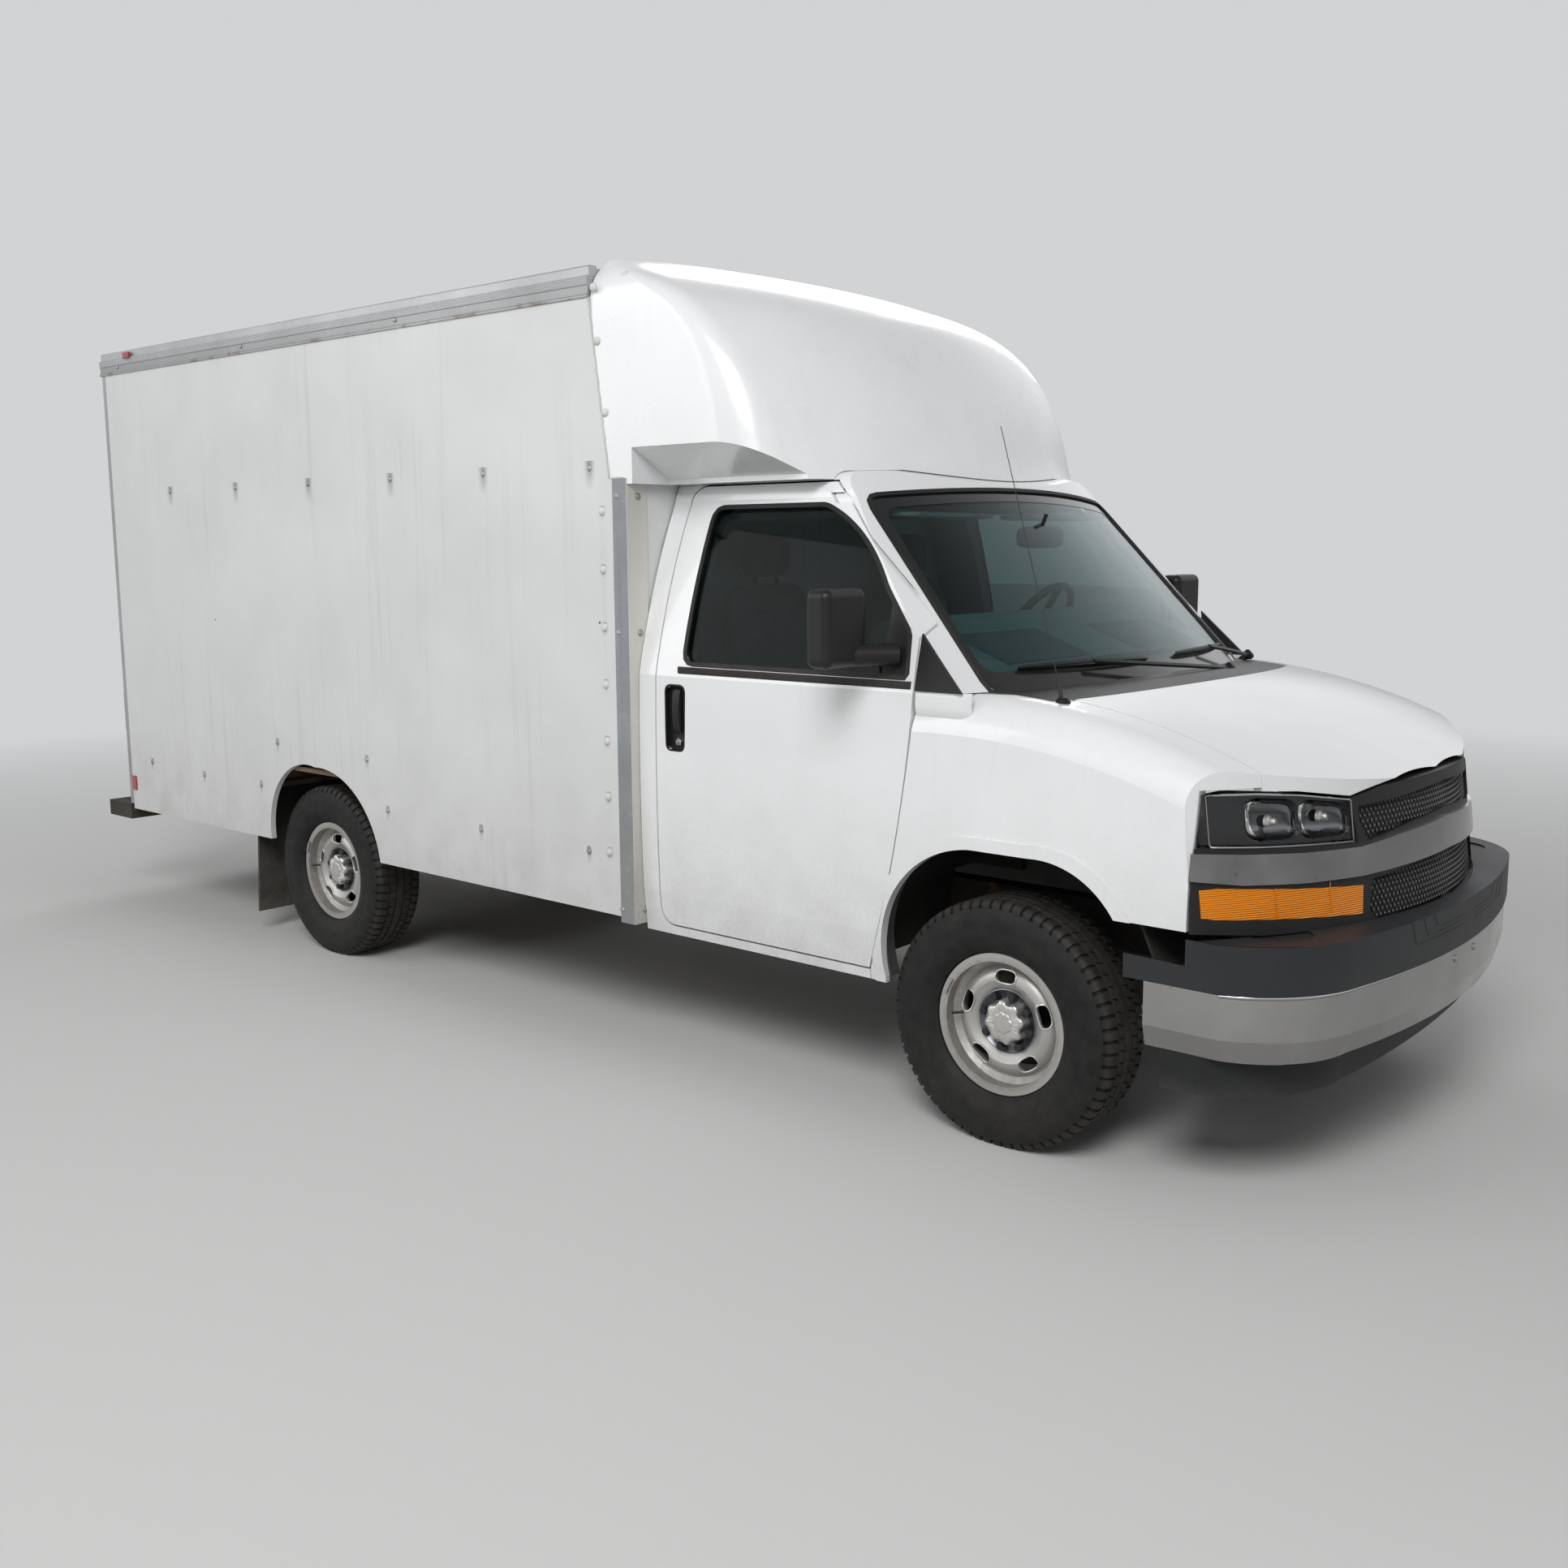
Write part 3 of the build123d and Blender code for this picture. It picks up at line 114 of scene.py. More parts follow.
def circle_through(a, b, c):
    """Centre and radius of the circle through three points of a plane."""
    (ax, ay), (bx, by), (cx, cy) = a, b, c
    left = np.array([[bx - ax, by - ay], [cx - ax, cy - ay]]) * 2
    right = [bx**2 - ax**2 + by**2 - ay**2, cx**2 - ax**2 + cy**2 - ay**2]
    centre = np.linalg.solve(left, right)
    return centre, float(np.hypot(*(np.array(a) - centre)))


SIDE_CENTRE, SIDE_RADIUS = circle_through(*CAB_SIDE_ARC)


def cab_side(z):
    """Half width of the cab's glasshouse at a height: its side is one arc, seen from the front."""
    return SIDE_CENTRE[0] + np.sqrt(SIDE_RADIUS**2 - (np.asarray(z) - SIDE_CENTRE[1]) ** 2)


def windshield_x(y, z, proud=0.0):
    """Station of the windshield: an arc in plan, carried back along a straight slope."""
    bulge = WINDSHIELD_RADIUS - np.sqrt(WINDSHIELD_RADIUS**2 - np.asarray(y) ** 2)
    base_x, base_z = WINDSHIELD_BASE
    return base_x + WINDSHIELD_SLOPE * (np.asarray(z) - base_z) - bulge + proud * 1.4


def nose_point(y, z, depth=0.0):
    """A point of the nose: an arc in plan whose face leans forward below, set in by a depth."""
    y, z, depth = np.broadcast_arrays(np.asarray(y, float), z, depth)
    angle = np.arcsin(y / NOSE_RADIUS)
    radius = NOSE_RADIUS - depth
    front = NOSE_TOP[0] - NOSE_RADIUS + radius * np.cos(angle) + (NOSE_TOP[1] - z) * NOSE_LEAN
    return at(front, radius * np.sin(angle), z)


# Shapes: an array of points and a list of face arrays


def grid_faces(rows, columns, wrap_rows=False, wrap_columns=False):
    """Quads between neighbouring points of a grid with that many rows and columns."""
    i = np.arange(rows if wrap_rows else rows - 1)[:, None]
    j = np.arange(columns if wrap_columns else columns - 1)[None, :]
    a, b = np.broadcast_arrays(i, j)
    c, d = (a + 1) % rows, (b + 1) % columns
    quads = np.stack([a * columns + b, c * columns + b, c * columns + d, a * columns + d], -1)
    return quads.reshape(-1, 4)


def sheet_shape(points, wrap_rows=False, wrap_columns=False):
    """A surface through a grid of points, rows by columns."""
    rows, columns = points.shape[:2]
    return points.reshape(-1, 3), [grid_faces(rows, columns, wrap_rows, wrap_columns)]


def slab_shape(front, back):
    """A closed plate between two grids of points, joined along their rims."""
    rows, columns = front.shape[:2]
    count = rows * columns
    face = grid_faces(rows, columns)
    index = np.arange(count).reshape(rows, columns)
    rim = np.concatenate([index[0, :-1], index[:-1, -1], index[-1, :0:-1], index[:0:-1, 0]])
    after = np.roll(rim, -1)
    walls = np.stack([rim, after, after + count, rim + count], -1)
    points = np.concatenate([front.reshape(-1, 3), back.reshape(-1, 3)])
    return points, [face[:, ::-1], face + count, walls]


def swept(profile, path, up=(0, 0, 1), closed=False):
    """A closed profile carried along a path, square to it. The profile's first number runs
    to the path's right hand, and its second along the up direction."""
    profile = np.asarray(profile, float)
    path = np.asarray(path, float)
    if closed:
        along = np.roll(path, -1, 0) - np.roll(path, 1, 0)
    else:
        along = np.gradient(path, axis=0)
    along /= np.linalg.norm(along, axis=1, keepdims=True)
    up = np.broadcast_to(np.asarray(up, float), along.shape)
    right = np.cross(along, up)
    right /= np.linalg.norm(right, axis=1, keepdims=True)
    high = np.cross(right, along)
    points = (path[:, None] + profile[None, :, :1] * right[:, None]
              + profile[None, :, 1:] * high[:, None])
    faces = [grid_faces(len(path), len(profile), closed, True)]
    if not closed:
        ring = np.arange(len(profile))[None]
        faces += [ring[:, ::-1], ring + (len(path) - 1) * len(profile)]
    return points.reshape(-1, 3), faces


def turned(profile, count=24):
    """A profile of (radius, height) rows turned about +Z; a radius of zero closes an end."""
    profile = np.asarray(profile, float)
    angle = np.arange(count) * 2 * pi / count
    radius, height = profile[:, 0][:, None], profile[:, 1][:, None]
    points = np.stack([radius * np.cos(angle), radius * np.sin(angle),
                       np.broadcast_to(height, (len(profile), count))], -1)
    return sheet_shape(points, wrap_columns=True)


def round_profile(radius, count=10):
    """A round section for a sweep."""
    angle = np.arange(count) * 2 * pi / count
    return np.stack([radius * np.cos(angle), radius * np.sin(angle)], -1)


def flat_profile(width, height, lift=0.0):
    """A rectangular section for a sweep, standing on the path or lifted off it."""
    half = width / 2
    return [(-half, lift), (half, lift), (half, lift + height), (-half, lift + height)]


def plate_shape(outline, offset):
    """A flat closed outline of points, thickened by an offset."""
    outline = np.asarray(outline, float)
    count = len(outline)
    ring = np.arange(count)
    after = np.roll(ring, -1)
    walls = np.stack([ring, after, after + count, ring + count], -1)
    points = np.concatenate([outline, outline + offset])
    return points, [ring[None, ::-1], ring[None] + count, walls]


def joined(shapes):
    """Several shapes as one."""
    points, faces, start = [], [], 0
    for shape_points, shape_faces in shapes:
        points.append(shape_points)
        faces += [face + start for face in shape_faces]
        start += len(shape_points)
    return np.concatenate(points), faces


def copies(shape, places, frames):
    """The shape at each place, its axes along the rows of each frame."""
    points, faces = shape
    places = np.asarray(places, float)
    frames = np.broadcast_to(np.asarray(frames, float), (len(places), 3, 3))
    spread = places[:, None] + np.einsum("mj,kjc->kmc", points, frames)
    starts = np.arange(len(places))[:, None, None] * len(points)
    return spread.reshape(-1, 3), [(face[None] + starts).reshape(-1, face.shape[1]) for face in faces]


def other_side(shape):
    """The shape's mirror image across the middle plane, its faces still outwards."""
    points, faces = shape
    return points * (1, -1, 1), [face[:, ::-1] for face in faces]


def both(shape):
    """A right-hand shape and its mirror image as one."""
    return joined([shape, other_side(shape)])


def on_side(shape, turn):
    """A right-hand shape as it is, or its mirror image on the left where the turn is positive."""
    return shape if turn < 0 else other_side(shape)


# Axes for copies whose own +Z points out of the right side, the front or the back
FACING_RIGHT = ((1, 0, 0), (0, 0, 1), (0, -1, 0))
FACING_FRONT = ((0, 1, 0), (0, 0, 1), (1, 0, 0))
FACING_BACK = ((0, -1, 0), (0, 0, 1), (-1, 0, 0))


def close_mesh(mesh, distance):
    """Merge the points that lie together and turn the faces outwards."""
    work = bmesh.new()
    work.from_mesh(mesh)
    bmesh.ops.remove_doubles(work, verts=work.verts, dist=distance)
    bmesh.ops.recalc_face_normals(work, faces=work.faces)
    work.to_mesh(mesh)
    work.free()


def add_piece(name, shape, look, body="chassis", smooth_angle=35, mend=True):
    """Make a mesh object of a shape, give it its finish and let it ride on a body."""
    points, faces = shape
    mesh = bpy.data.meshes.new(name)
    polygons = [polygon for face in faces for polygon in face.tolist()]
    mesh.from_pydata(points.tolist(), [], polygons)
    if mend:
        close_mesh(mesh, MERGE_DISTANCE)
    mesh.materials.append(made[look])
    mesh.polygons.foreach_set("use_smooth", np.ones(len(mesh.polygons), bool))
    mesh.set_sharp_from_angle(angle=radians(smooth_angle))
    mesh.update()
    piece = bpy.data.objects.new(name, mesh)
    bpy.context.scene.collection.objects.link(piece)
    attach(piece, body)
    return piece


# Shader graphs


def arithmetic(operation):
    """A method that adds one math node to its signal's graph."""
    return lambda self, *others: self.graph.math(operation, self, *others)


class Signal:
    """A socket of a graph. Arithmetic on it adds math nodes."""
    __add__, __sub__, __mul__ = map(arithmetic, ("ADD", "SUBTRACT", "MULTIPLY"))
    __truediv__, __pow__, __abs__ = map(arithmetic, ("DIVIDE", "POWER", "ABSOLUTE"))
    __lt__, __gt__, most = map(arithmetic, ("LESS_THAN", "GREATER_THAN", "MAXIMUM"))
    sine, root, fraction = map(arithmetic, ("SINE", "SQRT", "FRACT"))

    def __init__(self, graph, socket):
        self.graph, self.socket = graph, socket

    def __rsub__(self, other):
        return self.graph.math("SUBTRACT", other, self)

    def held(self):
        """The same value, held between 0 and 1."""
        self.socket.node.use_clamp = True
        return self


def rgba(colour):
    """A colour with its alpha; a signal stays as it is."""
    return colour if isinstance(colour, Signal) else (*colour[:3], 1.0)


def shade(colour, factor):
    """A darker or lighter colour."""
    return tuple(min(1.0, part * factor) for part in colour[:3])


class Graph:
    """Adds nodes to one tree and joins them."""

    def __init__(self, tree):
        self.tree = tree

    def join(self, value, socket):
        """Join a signal to a socket, or set the socket to a plain value."""
        if isinstance(value, Signal):
            self.tree.links.new(value.socket, socket)
        else:
            socket.default_value = value

    def add(self, kind, inputs=None, **settings):
        """One node, with its settings and its inputs set or joined."""
        item = self.tree.nodes.new(kind)
        for key, value in settings.items():
            setattr(item, key, value)
        for key, value in (inputs or {}).items():
            self.join(value, item.inputs[key])
        return item

    def signal(self, kind, output=0, inputs=None, **settings):
        """One output of a new node."""
        return Signal(self, self.add(kind, inputs, **settings).outputs[output])

    def math(self, operation, *values):
        """A number worked out of others."""
        return self.signal("ShaderNodeMath", 0, dict(enumerate(values)), operation=operation)

    def remap(self, value, low, high, to_low=0.0, to_high=1.0):
        """A value taken from one range to another, held within it."""
        return self.signal("ShaderNodeMapRange", "Result", {
            "Value": value, "From Min": low, "From Max": high, "To Min": to_low, "To Max": to_high,
        }, clamp=True)

    def mix(self, share, first, second):
        """A colour between two others."""
        return self.signal("ShaderNodeMix", 2, {0: share, 6: rgba(first), 7: rgba(second)}, data_type="RGBA")

    def noise(self, vector, scale, detail=3.0, stretch=(1, 1, 1)):
        """Soft noise, stretched by a scale along each axis."""
        place = self.signal("ShaderNodeVectorMath", 0, {0: vector, 1: stretch}, operation="MULTIPLY")
        return self.signal("ShaderNodeTexNoise", "Fac", {"Vector": place, "Scale": scale, "Detail": detail})

    def blotch(self, vector, scale, detail, low, high):
        """Noise spread to its full range between two levels."""
        return self.remap(self.noise(vector, scale, detail), low, high)

    def axes(self, vector):
        """The three parts of a vector."""
        return [Signal(self, part) for part in self.add("ShaderNodeSeparateXYZ", {0: vector}).outputs]


class Skin(Graph):
    """A material in the making: its colour, roughness and height are worked on in turn."""

    def __init__(self, name):
        self.material = bpy.data.materials.new(name)
        self.material.use_nodes = True
        super().__init__(self.material.node_tree)
        self.shader, self.output = (next(item for item in self.tree.nodes if item.type == kind)
                                    for kind in ("BSDF_PRINCIPLED", "OUTPUT_MATERIAL"))
        self.vector = self.signal("ShaderNodeTexCoord", "Object")

    def blend(self, share, colour):
        """Lay a colour over the one so far."""
        self.tone = self.mix(share, self.tone, colour)

    def bumped(self, distance, strength=1.0):
        """The normal of a bump made from the height."""
        return self.signal("ShaderNodeBump", "Normal",
                           {"Height": self.height, "Distance": distance, "Strength": strength})

    def put(self, inputs):
        """Set or join inputs of the Principled shader; returns the material."""
        for key, value in inputs.items():
            self.join(value, self.shader.inputs[key])
        return self.material

    def veil(self, share, other):
        """Show another shader by a share in place of the Principled one; returns the material."""
        shaders = self.signal("ShaderNodeMixShader", 0,
                              {0: share, 1: Signal(self, self.shader.outputs[0]), 2: other})
        self.join(shaders, self.output.inputs["Surface"])
        return self.material


def effect(name, **inputs):
    """Turn a function that fills a graph into one that places a shared node group.

    A keyword names an input and gives its default, None for a vector. The group is made at its first
    use. Placing it returns its outputs as signals, or the signal itself if there is one."""
    def build(fill):
        """The group, with its sockets and the nodes that fill adds."""
        tree = bpy.data.node_groups.new(name, "ShaderNodeTree")
        for label, default in inputs.items():
            kind = "NodeSocketVector" if default is None else "NodeSocketFloat"
            socket = tree.interface.new_socket(name=label, in_out="INPUT", socket_type=kind)
            if default is not None:
                socket.default_value = default
        graph = Graph(tree)
        source = graph.add("NodeGroupInput").outputs
        results = fill(graph, *(Signal(graph, source[label]) for label in inputs))
        for label in results:
            tree.interface.new_socket(name=label, in_out="OUTPUT", socket_type="NodeSocketFloat")
        graph.add("NodeGroupOutput", results)
        return tree

    def wrap(fill):
        """Make the function that places the group."""
        def placed(graph, *values):
            """Place the group in a graph, its inputs set or joined in their order."""
            tree = bpy.data.node_groups.get(name) or build(fill)
            item = graph.add("ShaderNodeGroup", dict(enumerate(values)), node_tree=tree)
            signals = [Signal(graph, output) for output in item.outputs]
            return signals[0] if len(signals) == 1 else signals
        return placed
    return wrap


@effect("Surface grain", Vector=None, Scale=300.0)
def surface_grain(graph, vector, scale):
    """Fine grain for a bump, and large soft patches for colour and gloss."""
    return {"Height": graph.noise(vector, scale, 4.0), "Patch": graph.blotch(vector, 2.3, 5.0, 0.35, 0.68)}


@effect("Road film", Vector=None, Foot=0.3, Reach=0.8, Amount=0.5)
def road_film(graph, vector, foot, reach, amount):
    """A film of dirt that is thickest low down and breaks up into blotches above."""
    share = (1 - (graph.axes(vector)[2] - foot) / reach).held()
    texture = (graph.blotch(vector, 7.0, 8.0, 0.3, 0.75) * 0.7
               + graph.blotch(vector, 90.0, 3.0, 0.35, 0.7) * 0.3)
    low = share ** 1.6 * (texture + 0.35)
    return {"Mask": ((low + texture * 0.16) * amount).held()}


@effect("Rain runs", Vector=None, Scale=30.0, Amount=0.5)
def rain_runs(graph, vector, scale, amount):
    """Vertical runs of dirt: noise stretched along the height."""
    narrow = graph.remap(graph.noise(vector, scale, 2.0, (1, 1, 0.03)), 0.56, 0.75)
    broad = graph.remap(graph.noise(vector, 3.0, 3.0, (1, 1, 0.5)), 0.4, 0.65)
    return {"Mask": (narrow * broad * amount).held()}


@effect("Small chips", Vector=None, Scale=12.0, Share=0.1)
def small_chips(graph, vector, scale, share):
    """Sparse small chips: cells of which only a few are kept, smaller than their cell."""
    cells = graph.add("ShaderNodeTexVoronoi", {"Vector": vector, "Scale": scale}, feature="F1").outputs
    pick, size, _ = graph.axes(Signal(graph, cells["Color"]))
    return {"Mask": (pick < share) * (Signal(graph, cells["Distance"]) < size * 0.16)}


@effect("Drip and shadow mark", Vector=None, X=0.0, Z=0.0, Width=0.02, Length=0.1)
def drip_and_shadow_mark(graph, vector, head_x, head_z, width, length):
    """A dark mark below one fastener, used both for dirt runs and for painted shadow under bolt heads: full
    at its head, narrower and fainter towards its end.
    """
    x, _, z = graph.axes(vector)
    wobble = (graph.noise(vector, 60.0) - 0.5) * 0.012
    across = abs(x - head_x + wobble)
    fall = (head_z - z) / length
    inside = (fall > -0.15) * (1 - fall).held()
    return {"Mask": (inside * (1 - across / width).held()).held()}


@effect("Wheel polar", Vector=None)
def wheel_polar(graph, vector):
    """Distance from the nearest wheel's centre, and how far out of its middle plane a point is."""
    x, y, z = graph.axes(vector)
    rear = x < AXLE_X + REAR_AXLE / 2
    across = x - (rear * REAR_AXLE + AXLE_X)
    up = z - AXLE_Z
    out = abs(y) - (rear * (REAR_TRACK - FRONT_TRACK) + FRONT_TRACK)
    return {"Radius": (across * across + up * up).root(), "Out": out}


@effect("Cloth weave", Vector=None, Threads=2600.0)
def cloth_weave(graph, vector, threads):
    """A plain weave over places in metres: warp and weft threads in turn on top."""
    warp, weft = ((place * threads).sine() for place in graph.axes(vector)[:2])
    return {"Height": (warp * warp).most(weft * weft), "Fleck": graph.blotch(vector, 900.0, 2.0, 0.4, 0.65)}


def finish(name, colour, roughness, metallic=0.0, relief=(0.12, 300, 0.2), dirt=(0.3, 0.25, 0.9), spread=0.08,
           runs=0.0, run_scale=30.0, chips=0.0, chip_colour=(0.08, 0.08, 0.08), coat=0.0, coat_roughness=0.04,
           specular=0.5, more=None):
    """A worn finish: a colour with soft patches, runs, chips, road film and a fine grain.

    The relief gives how much darker the patches are, the grain's scale and its height in millimetres.
    The dirt gives the film's amount, its foot, how far up it reaches and its colour if that isn't the
    usual one. more(skin) may change colour, roughness and height before the film is laid on."""
    patch_depth, grain, bump = relief
    film, foot, reach, film_colour = (*dirt, (0.21, 0.19, 0.165))[:4]
    skin = Skin(name)
    skin.height, patch = surface_grain(skin, skin.vector, grain)
    skin.tone = skin.mix(patch, colour, shade(colour, 1 - patch_depth))
    skin.gloss = patch * spread + roughness
    if runs:
        skin.blend(rain_runs(skin, skin.vector, run_scale, runs), shade(colour, 0.45))
    if chips:
        skin.blend(small_chips(skin, skin.vector, 12.0, chips), chip_colour)
    if more:
        more(skin)
    if film:
        mask = road_film(skin, skin.vector, foot, reach, film)
        skin.blend(mask, film_colour)
        skin.gloss = (skin.gloss + mask * 0.4).held()
    return skin.put({
        "Base Color": skin.tone, "Roughness": skin.gloss, "Normal": skin.bumped(bump / 1000),
        "Metallic": metallic, "Specular IOR Level": specular, "Coat Weight": coat,
        "Coat Roughness": coat_roughness,
    })


def glazing(name, colour, film, ior):
    """Clear or tinted glass with a thin film of dust; its shadow lets light through."""
    skin = Skin(name)
    specks = small_chips(skin, skin.vector, 40.0, 0.05) * 0.5
    dust = road_film(skin, skin.vector, 1.2, 0.7, film).most(specks)
    skin.put({"Base Color": skin.mix(dust, colour, (0.5, 0.5, 0.48)), "Roughness": 0.0,
              "Transmission Weight": 1.0, "IOR": ior})
    return skin.veil(skin.signal("ShaderNodeLightPath", "Is Shadow Ray"),
                     skin.signal("ShaderNodeBsdfTransparent", 0, {"Color": rgba(colour)}))


# Rows of fasteners on the box's right side: (station, height)
MIDDLE_ROW = [(-1.67 - 0.5965 * index, 2.104) for index in range(6)]
LOWER_ROW = [(-1.721, 0.714), (-2.353, 0.721), (-2.979, 0.728), (-3.976, 0.741), (-4.493, 0.738),
             (-5.008, 0.756)]
ARCH_BOLTS = [(-3.117, 0.934), (-3.816, 0.952)]
EDGE_COLUMN = [(-1.609, 1.952 - 0.2045 * index) for index in range(7)]
SEAM_BOLTS = [(-1.628, 2.719), (-1.614, 2.537), (-1.581, 2.292)]
RAIL_SCREWS = [(-5.096 + 1.156 * index, 2.722) for index in range(3)]


def colour_setting(name, description, default):
    """A colour in the panel."""
    return FloatVectorProperty(name=name, description=description, subtype="COLOR", size=3, min=0, max=1,
                               default=default)


def factor_setting(name, description, default):
    """A share from none to full in the panel."""
    return FloatProperty(name=name, description=description, subtype="FACTOR", min=0, max=1, default=default)


def length_setting(name, description, default):
    """A length in the panel."""
    return FloatProperty(name=name, description=description, unit="LENGTH", min=0, default=default)


class PaintSettings(bpy.types.PropertyGroup):
    """Colours of the truck's finishes."""
    paint: colour_setting("Cab paint", "Gloss paint of cab, hood and doors", (0.80, 0.81, 0.82))
    fairing: colour_setting("Fairing", "Gel coat of the wind fairing", (0.80, 0.81, 0.82))
    panel: colour_setting("Box panel", "Side panels of the box", (0.68, 0.69, 0.69))
    plastic: colour_setting("Black plastic", "Grained trim, mirrors and grille", (0.012, 0.012, 0.013))
    pad: colour_setting("Bumper pad", "Dark grained pad on the bumper", (0.026, 0.028, 0.031))
    silver: colour_setting("Wheel paint", "Silver paint of the steel wheels", (0.50, 0.49, 0.47))
    amber: colour_setting("Amber lens", "Turn lamp lenses", (1.0, 0.30, 0.0))
    tint: colour_setting("Windshield tint", "Blue-green glass of the windshield", (0.42, 0.58, 0.59))
    side_tint: colour_setting("Side glass tint", "Glass of the doors", (0.22, 0.29, 0.28))
    dash: colour_setting("Dashboard", "Soft plastic of the dashboard", (0.11, 0.135, 0.125))
    cloth: colour_setting("Seat cloth", "Woven cloth of both seats", (0.10, 0.105, 0.11))


class WearSettings(bpy.types.PropertyGroup):
    """How worn and dirty the truck is, and how much painted shadow lies below the box's bolts."""
    film: factor_setting("Road film", "Dirt on the lower parts", 0.55)
    # This share also sets the painted shadow below the bolt heads, which is laid on with the dirt runs
    drips_and_shadows: factor_setting("Drips", "Dark runs below the bolts", 0.75)


class SizeSettings(bpy.types.PropertyGroup):
    """Sizes of what is added to the solids."""
    bolt_radius: length_setting("Bolt head radius", "Round heads on the box", 0.0115)
    bolt_height: length_setting("Bolt head height", "How far a head stands out", 0.007)
    seal_width: length_setting("Seal width", "Rubber round the windows", 0.024)
    tread_depth: length_setting("Tread depth", "Depth of the tyres' grooves", 0.008)
    tread_blocks: IntProperty(name="Tread blocks", description="Shoulder blocks round each tyre",
                              default=64, min=12)


class StageSettings(bpy.types.PropertyGroup):
    """Floor, lamps and camera."""
    floor: colour_setting("Floor", "Colour of the pale floor", (0.60, 0.60, 0.595))
    back: colour_setting("Background", "Colour behind the truck", (0.64, 0.65, 0.66))
    fill: FloatProperty(name="Fill light", description="Light from all round", default=0.34, min=0)
    key: FloatProperty(name="Key light", description="Power of the main soft lamp", default=640, min=0,
                       unit="POWER")
    lens: FloatProperty(name="Lens", description="Focal length in millimetres on a 36 mm sensor",
                        default=34.54, min=1, subtype="DISTANCE_CAMERA")


def settings(name):
    """One of the property groups kept on the scene."""
    return getattr(bpy.context.scene, "truck_" + name)


# What some finishes have of their own, each laid on a skin. The top rail's bands are heights over its
# lower edge; the radii are of the wheel's disc, its hub and the tyre's tread.
RAIL_RIBS = (0.046, 0.072)
RAIL_RIB_PITCH = 0.007
RAIL_DARK = 0.042
POST_FRONT = -1.4835
LINING_SIDE, LINING_TOP, LINING_DEPTH = 0.974, 2.05, 0.012
DISC_EDGE, RIM_EDGE = (0.165, 0.186), (0.200, 0.212)
HUB_EDGE, TREAD_EDGE = (0.094, 0.112), (0.366, 0.380)
SIDEWALL_RING_PITCH = 0.009
BOARD_WIDTH = 0.14


def bolt_stains_and_shadows(drips_and_shadows):
    """Dark runs under the rows of bolts in the side panels, over fine pits: dirt runs that also stand for
    painted shadow under the heads, and under the edge column mostly painted shadow.
    """
    def more(skin):
        rows = (MIDDLE_ROW, 0.030, 0.09), (LOWER_ROW + ARCH_BOLTS, 0.016, 0.06), (EDGE_COLUMN, 0.017, 0.045)
        masks = [drip_and_shadow_mark(skin, skin.vector, AXLE_X + station, height + 0.012, width, length)
                 for spots, width, length in rows for station, height in spots]
        # Dirt runs and painted shadow below the bolts, in one dark colour
        skin.blend(reduce(Signal.most, masks) * drips_and_shadows, (0.09, 0.095, 0.09))
        skin.height += skin.noise(skin.vector, 950.0, 2.0) * 0.6
    return more


def cab_lining(skin):
    """A dull soft lining on every face that lies inside the cab's outer skin."""
    x, y, z = skin.axes(skin.vector)
    side, up = abs(y) - float(SIDE_CENTRE[0]), z - float(SIDE_CENTRE[1])
    in_side = ((side * side + up * up).root() < SIDE_RADIUS - LINING_DEPTH) * (abs(y) < LINING_SIDE)
    base_x, base_z = WINDSHIELD_BASE
    front = z * WINDSHIELD_SLOPE + (AXLE_X + base_x - WINDSHIELD_SLOPE * base_z - 0.03)
    in_front = x < front - y * y / (2 * WINDSHIELD_RADIUS)
    lined = in_side * (z < LINING_TOP) * in_front
    skin.blend(lined, (0.06, 0.063, 0.06))
    skin.gloss = skin.gloss.most(lined * 0.85)


def rail_bands(skin):
    """Fine ribs on the upper band of the top rail, a dark lower band and rust spots along its edge."""
    z = skin.axes(skin.vector)[2]
    band = (z > RAIL_LOW + RAIL_RIBS[0]) * (z < RAIL_LOW + RAIL_RIBS[1])
    edge = (1 - (z - RAIL_LOW) / 0.02).held()
    skin.blend(edge * skin.blotch(skin.vector, 14.0, 5.0, 0.55, 0.62), (0.23, 0.10, 0.045))
    skin.blend((z < RAIL_LOW + RAIL_DARK) * 0.45, (0.20, 0.21, 0.21))
    skin.height += (z * (2 * pi / RAIL_RIB_PITCH)).sine() * band * 6.0


def post_faces(skin):
    """A post's side face is weathered zinc; its forward face keeps cream-white paint."""
    spangle = skin.signal("ShaderNodeTexVoronoi", "Color", {"Vector": skin.vector, "Scale": 60.0},
                          feature="F1")
    skin.blend(skin.axes(spangle)[0] * 0.25, (0.20, 0.21, 0.22))
    skin.blend(skin.axes(skin.vector)[0] > AXLE_X + POST_FRONT, (0.68, 0.67, 0.62))


def wheel_dirt(skin):
    """Brown dust where the disc meets the rim, a dark hub and a dark inner face."""
    radius, out = wheel_polar(skin, skin.vector)
    blotch = skin.blotch(skin.vector, 40.0, 5.0, 0.3, 0.7)
    bead = skin.remap(radius, *DISC_EDGE) * (1 - skin.remap(radius, *RIM_EDGE))
    dust = bead * (blotch * 0.30 + 0.10)
    skin.blend(dust, (0.13, 0.095, 0.065))
    skin.blend((1 - skin.remap(radius, *HUB_EDGE)) * 0.7, (0.10, 0.105, 0.115))
    skin.blend((out < 0.0) * 0.8, (0.055, 0.05, 0.045))
    skin.gloss += dust * 0.3


def tyre_dust(skin):
    """Dust in the tread, and fine rings and a paler scrubbed band on the sidewall."""
    radius, _ = wheel_polar(skin, skin.vector)
    tread = skin.remap(radius, *TREAD_EDGE)
    side = 1 - tread
    blotch = skin.blotch(skin.vector, 25.0, 6.0, 0.3, 0.75)
    skin.blend(tread * (blotch * 0.25 + 0.15), (0.10, 0.092, 0.08))
    skin.blend(side * (blotch * 0.12), (0.10, 0.095, 0.088))
    skin.height += (radius * (2 * pi / SIDEWALL_RING_PITCH)).sine() * side * 0.35


